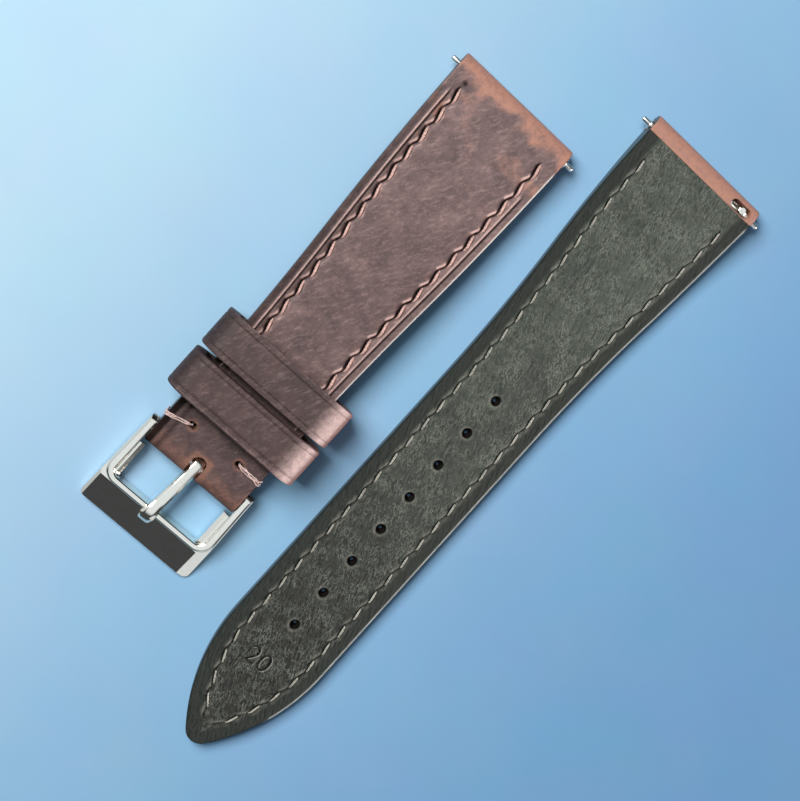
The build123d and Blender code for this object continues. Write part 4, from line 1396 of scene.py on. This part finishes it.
# The rim: a crowned bead along both arms and across the front, drawn between its inner and outer line
innerLine = rimLine(lambda y: 8.0, 6.9, -7.1, 1.1)
outerLine = rimLine(lambda y: flareAt(y) - 0.05, 7.08, -6.9, 2.34)
crown = [(1 - math.cos(math.pi * k / 24)) / 2 for k in range(25)]


def rimPlace(i, j):
    if j < len(crown):
        share = crown[j]
        height = buckle["rimTop"] - buckle["rimCrown"] * (1 - math.sqrt(1 - abs(2 * share - 1) ** 4))
    else:
        share, height = (1.0, 0.0)[j - len(crown)], buckle["rimFoot"]
    (x0, y0), (x1, y1) = innerLine[i], outerLine[i]
    return Vector((lerp(x0, x1, share), lerp(y0, y1, share), height))


def windowLine(half, depth, radius):
    return mirrored([(half, past)] + roundTo(half - radius, radius - depth, radius, radius, 10))


bar = carve(blank, [skin(len(innerLine) - 1, len(crown) + 2, rimPlace)], "UNION")
straight, flared = windowLine(*buckle["inside"]), windowLine(*buckle["mouth"])
recess = mirrored([(buckle["recessHalf"], past), (buckle["recessHalf"], -buckle["recess"])])
for lower, upper, low, high in ((straight, straight, -2, 0.45), (straight, flared, 0.45 - 0.0001, 1.9),
                                (recess, recess, -2, 2)):
    bar = carve(bar, [block(lower, upper, low, high)])
# The ears are rounded by what stays inside a long bar with a half-round end
earR, shoulder, slack, reach = buckle["rimTop"], 0.4, 1.3, (11.0, 14.5)
profile = [(buckle["rear"] - earR + earR * math.sin(a), earR * math.cos(a))
           for a in [math.pi * k / 16 for k in range(17)]]
profile = [(-reach[1], slack), (shoulder, slack)] + profile + [(shoulder, -slack), (-reach[1], -slack)]
envelope = skin(1, len(profile), lambda i, j: Vector((reach[0] * (2 * i - 1), profile[j][0], profile[j][1])))
bar = carve(bar, [envelope], "INTERSECT")
boreR, boreEnd = buckle["bore"], buckle["boreEnd"]
bar = carve(bar, [turnedPart([(side * 7, 0), (side * 7, boreR), (side * boreEnd, boreR), (side * boreEnd, 0)])
                  for side in (-1, 1)])
buckleFrame = finishPiece("buckleFrame", setDown(bar, buckleSeat, buckleAxis), polished, "buckle",
                          ["buckle_frame"], 14)
for face in buckleFrame.data.polygons:  # the planed faces stay flat to their edges
    face.use_smooth = face.area < 0.5 * milli ** 2

# The tang leans a little to one side, as far as its slot lets it
tang = {
    "eye": 1.25, "bore": 0.7, "half": 0.9, "soft": 0.12, "lean": 0.077,
    # along, lower face, upper face and half width
    "stations": [(1.4, 0.5, 0.8, 0.6), (1.32, 0.3, 0.93, 0.8), (1.1, 0.05, 1.17, 0.92),
                 (0.8, -0.2, 1.38, 0.95), (0.3, -0.3, 1.5, 0.95), (-0.8, -0.3, 1.53, 0.94),
                 (-2.0, -0.02, 1.57, 0.93), (-4.0, 0.38, 1.76, 0.92), (-6.4, 0.86, 2.02, 0.94),
                 (-7.8, 1.14, 2.16, 1.0), (-8.5, 1.2, 2.2, 1.1), (-9.3, 1.2, 2.18, 1.16),
                 (-9.38, 1.19, 2.14, 1.16), (-10.2, 1.0, 1.68, 0.98), (-10.36, 0.96, 1.5, 0.9),
                 (-10.4, 1.0, 1.2, 0.86)],
    "section": [(-1, 0.04), (-1, 0.3), (-0.98, 0.52), (-0.86, 0.78), (-0.62, 0.94), (-0.3, 0.99), (0, 1),
                (0.3, 0.99), (0.62, 0.94), (0.86, 0.78), (0.98, 0.52), (1, 0.3), (1, 0.04), (0.9, 0), (0, 0),
                (-0.9, 0)],
}


def tangPlace(i, j):
    y, low, high, half = tang["stations"][i]
    across, share = tang["section"][j]
    return Vector((across * half - tang["lean"] * max(-y - 1, 0), y, lerp(low, high, share)))


blade = skin(len(tang["stations"]) - 1, len(tang["section"]), tangPlace)
half, radius, soft = tang["half"], tang["eye"], tang["soft"]
eye = turnedPart([(-half, 0), (-half, radius - soft), (soft - half, radius), (half - soft, radius),
                  (half, radius - soft), (half, 0)])
bore = turnedPart([(-2, 0), (-2, tang["bore"]), (2, tang["bore"]), (2, 0)])
hook = carve(carve(blade, [eye], "UNION"), [bore])
finishPiece("buckleTang", setDown(hook, buckleSeat, buckleAxis), polished, "tang", ["buckle_tang"],
            26)

# The tubes, sprung tips and springs of the bars come from the parts as they are
for piece in bpy.data.objects:
    steel = springWire if piece.name.endswith("_spring") else turned
    if piece.name.endswith(("bar_tube", "tip_left", "tip_right", "_spring")):
        for slot in piece.material_slots:
            slot.material = steel
print("buckle and bars made")
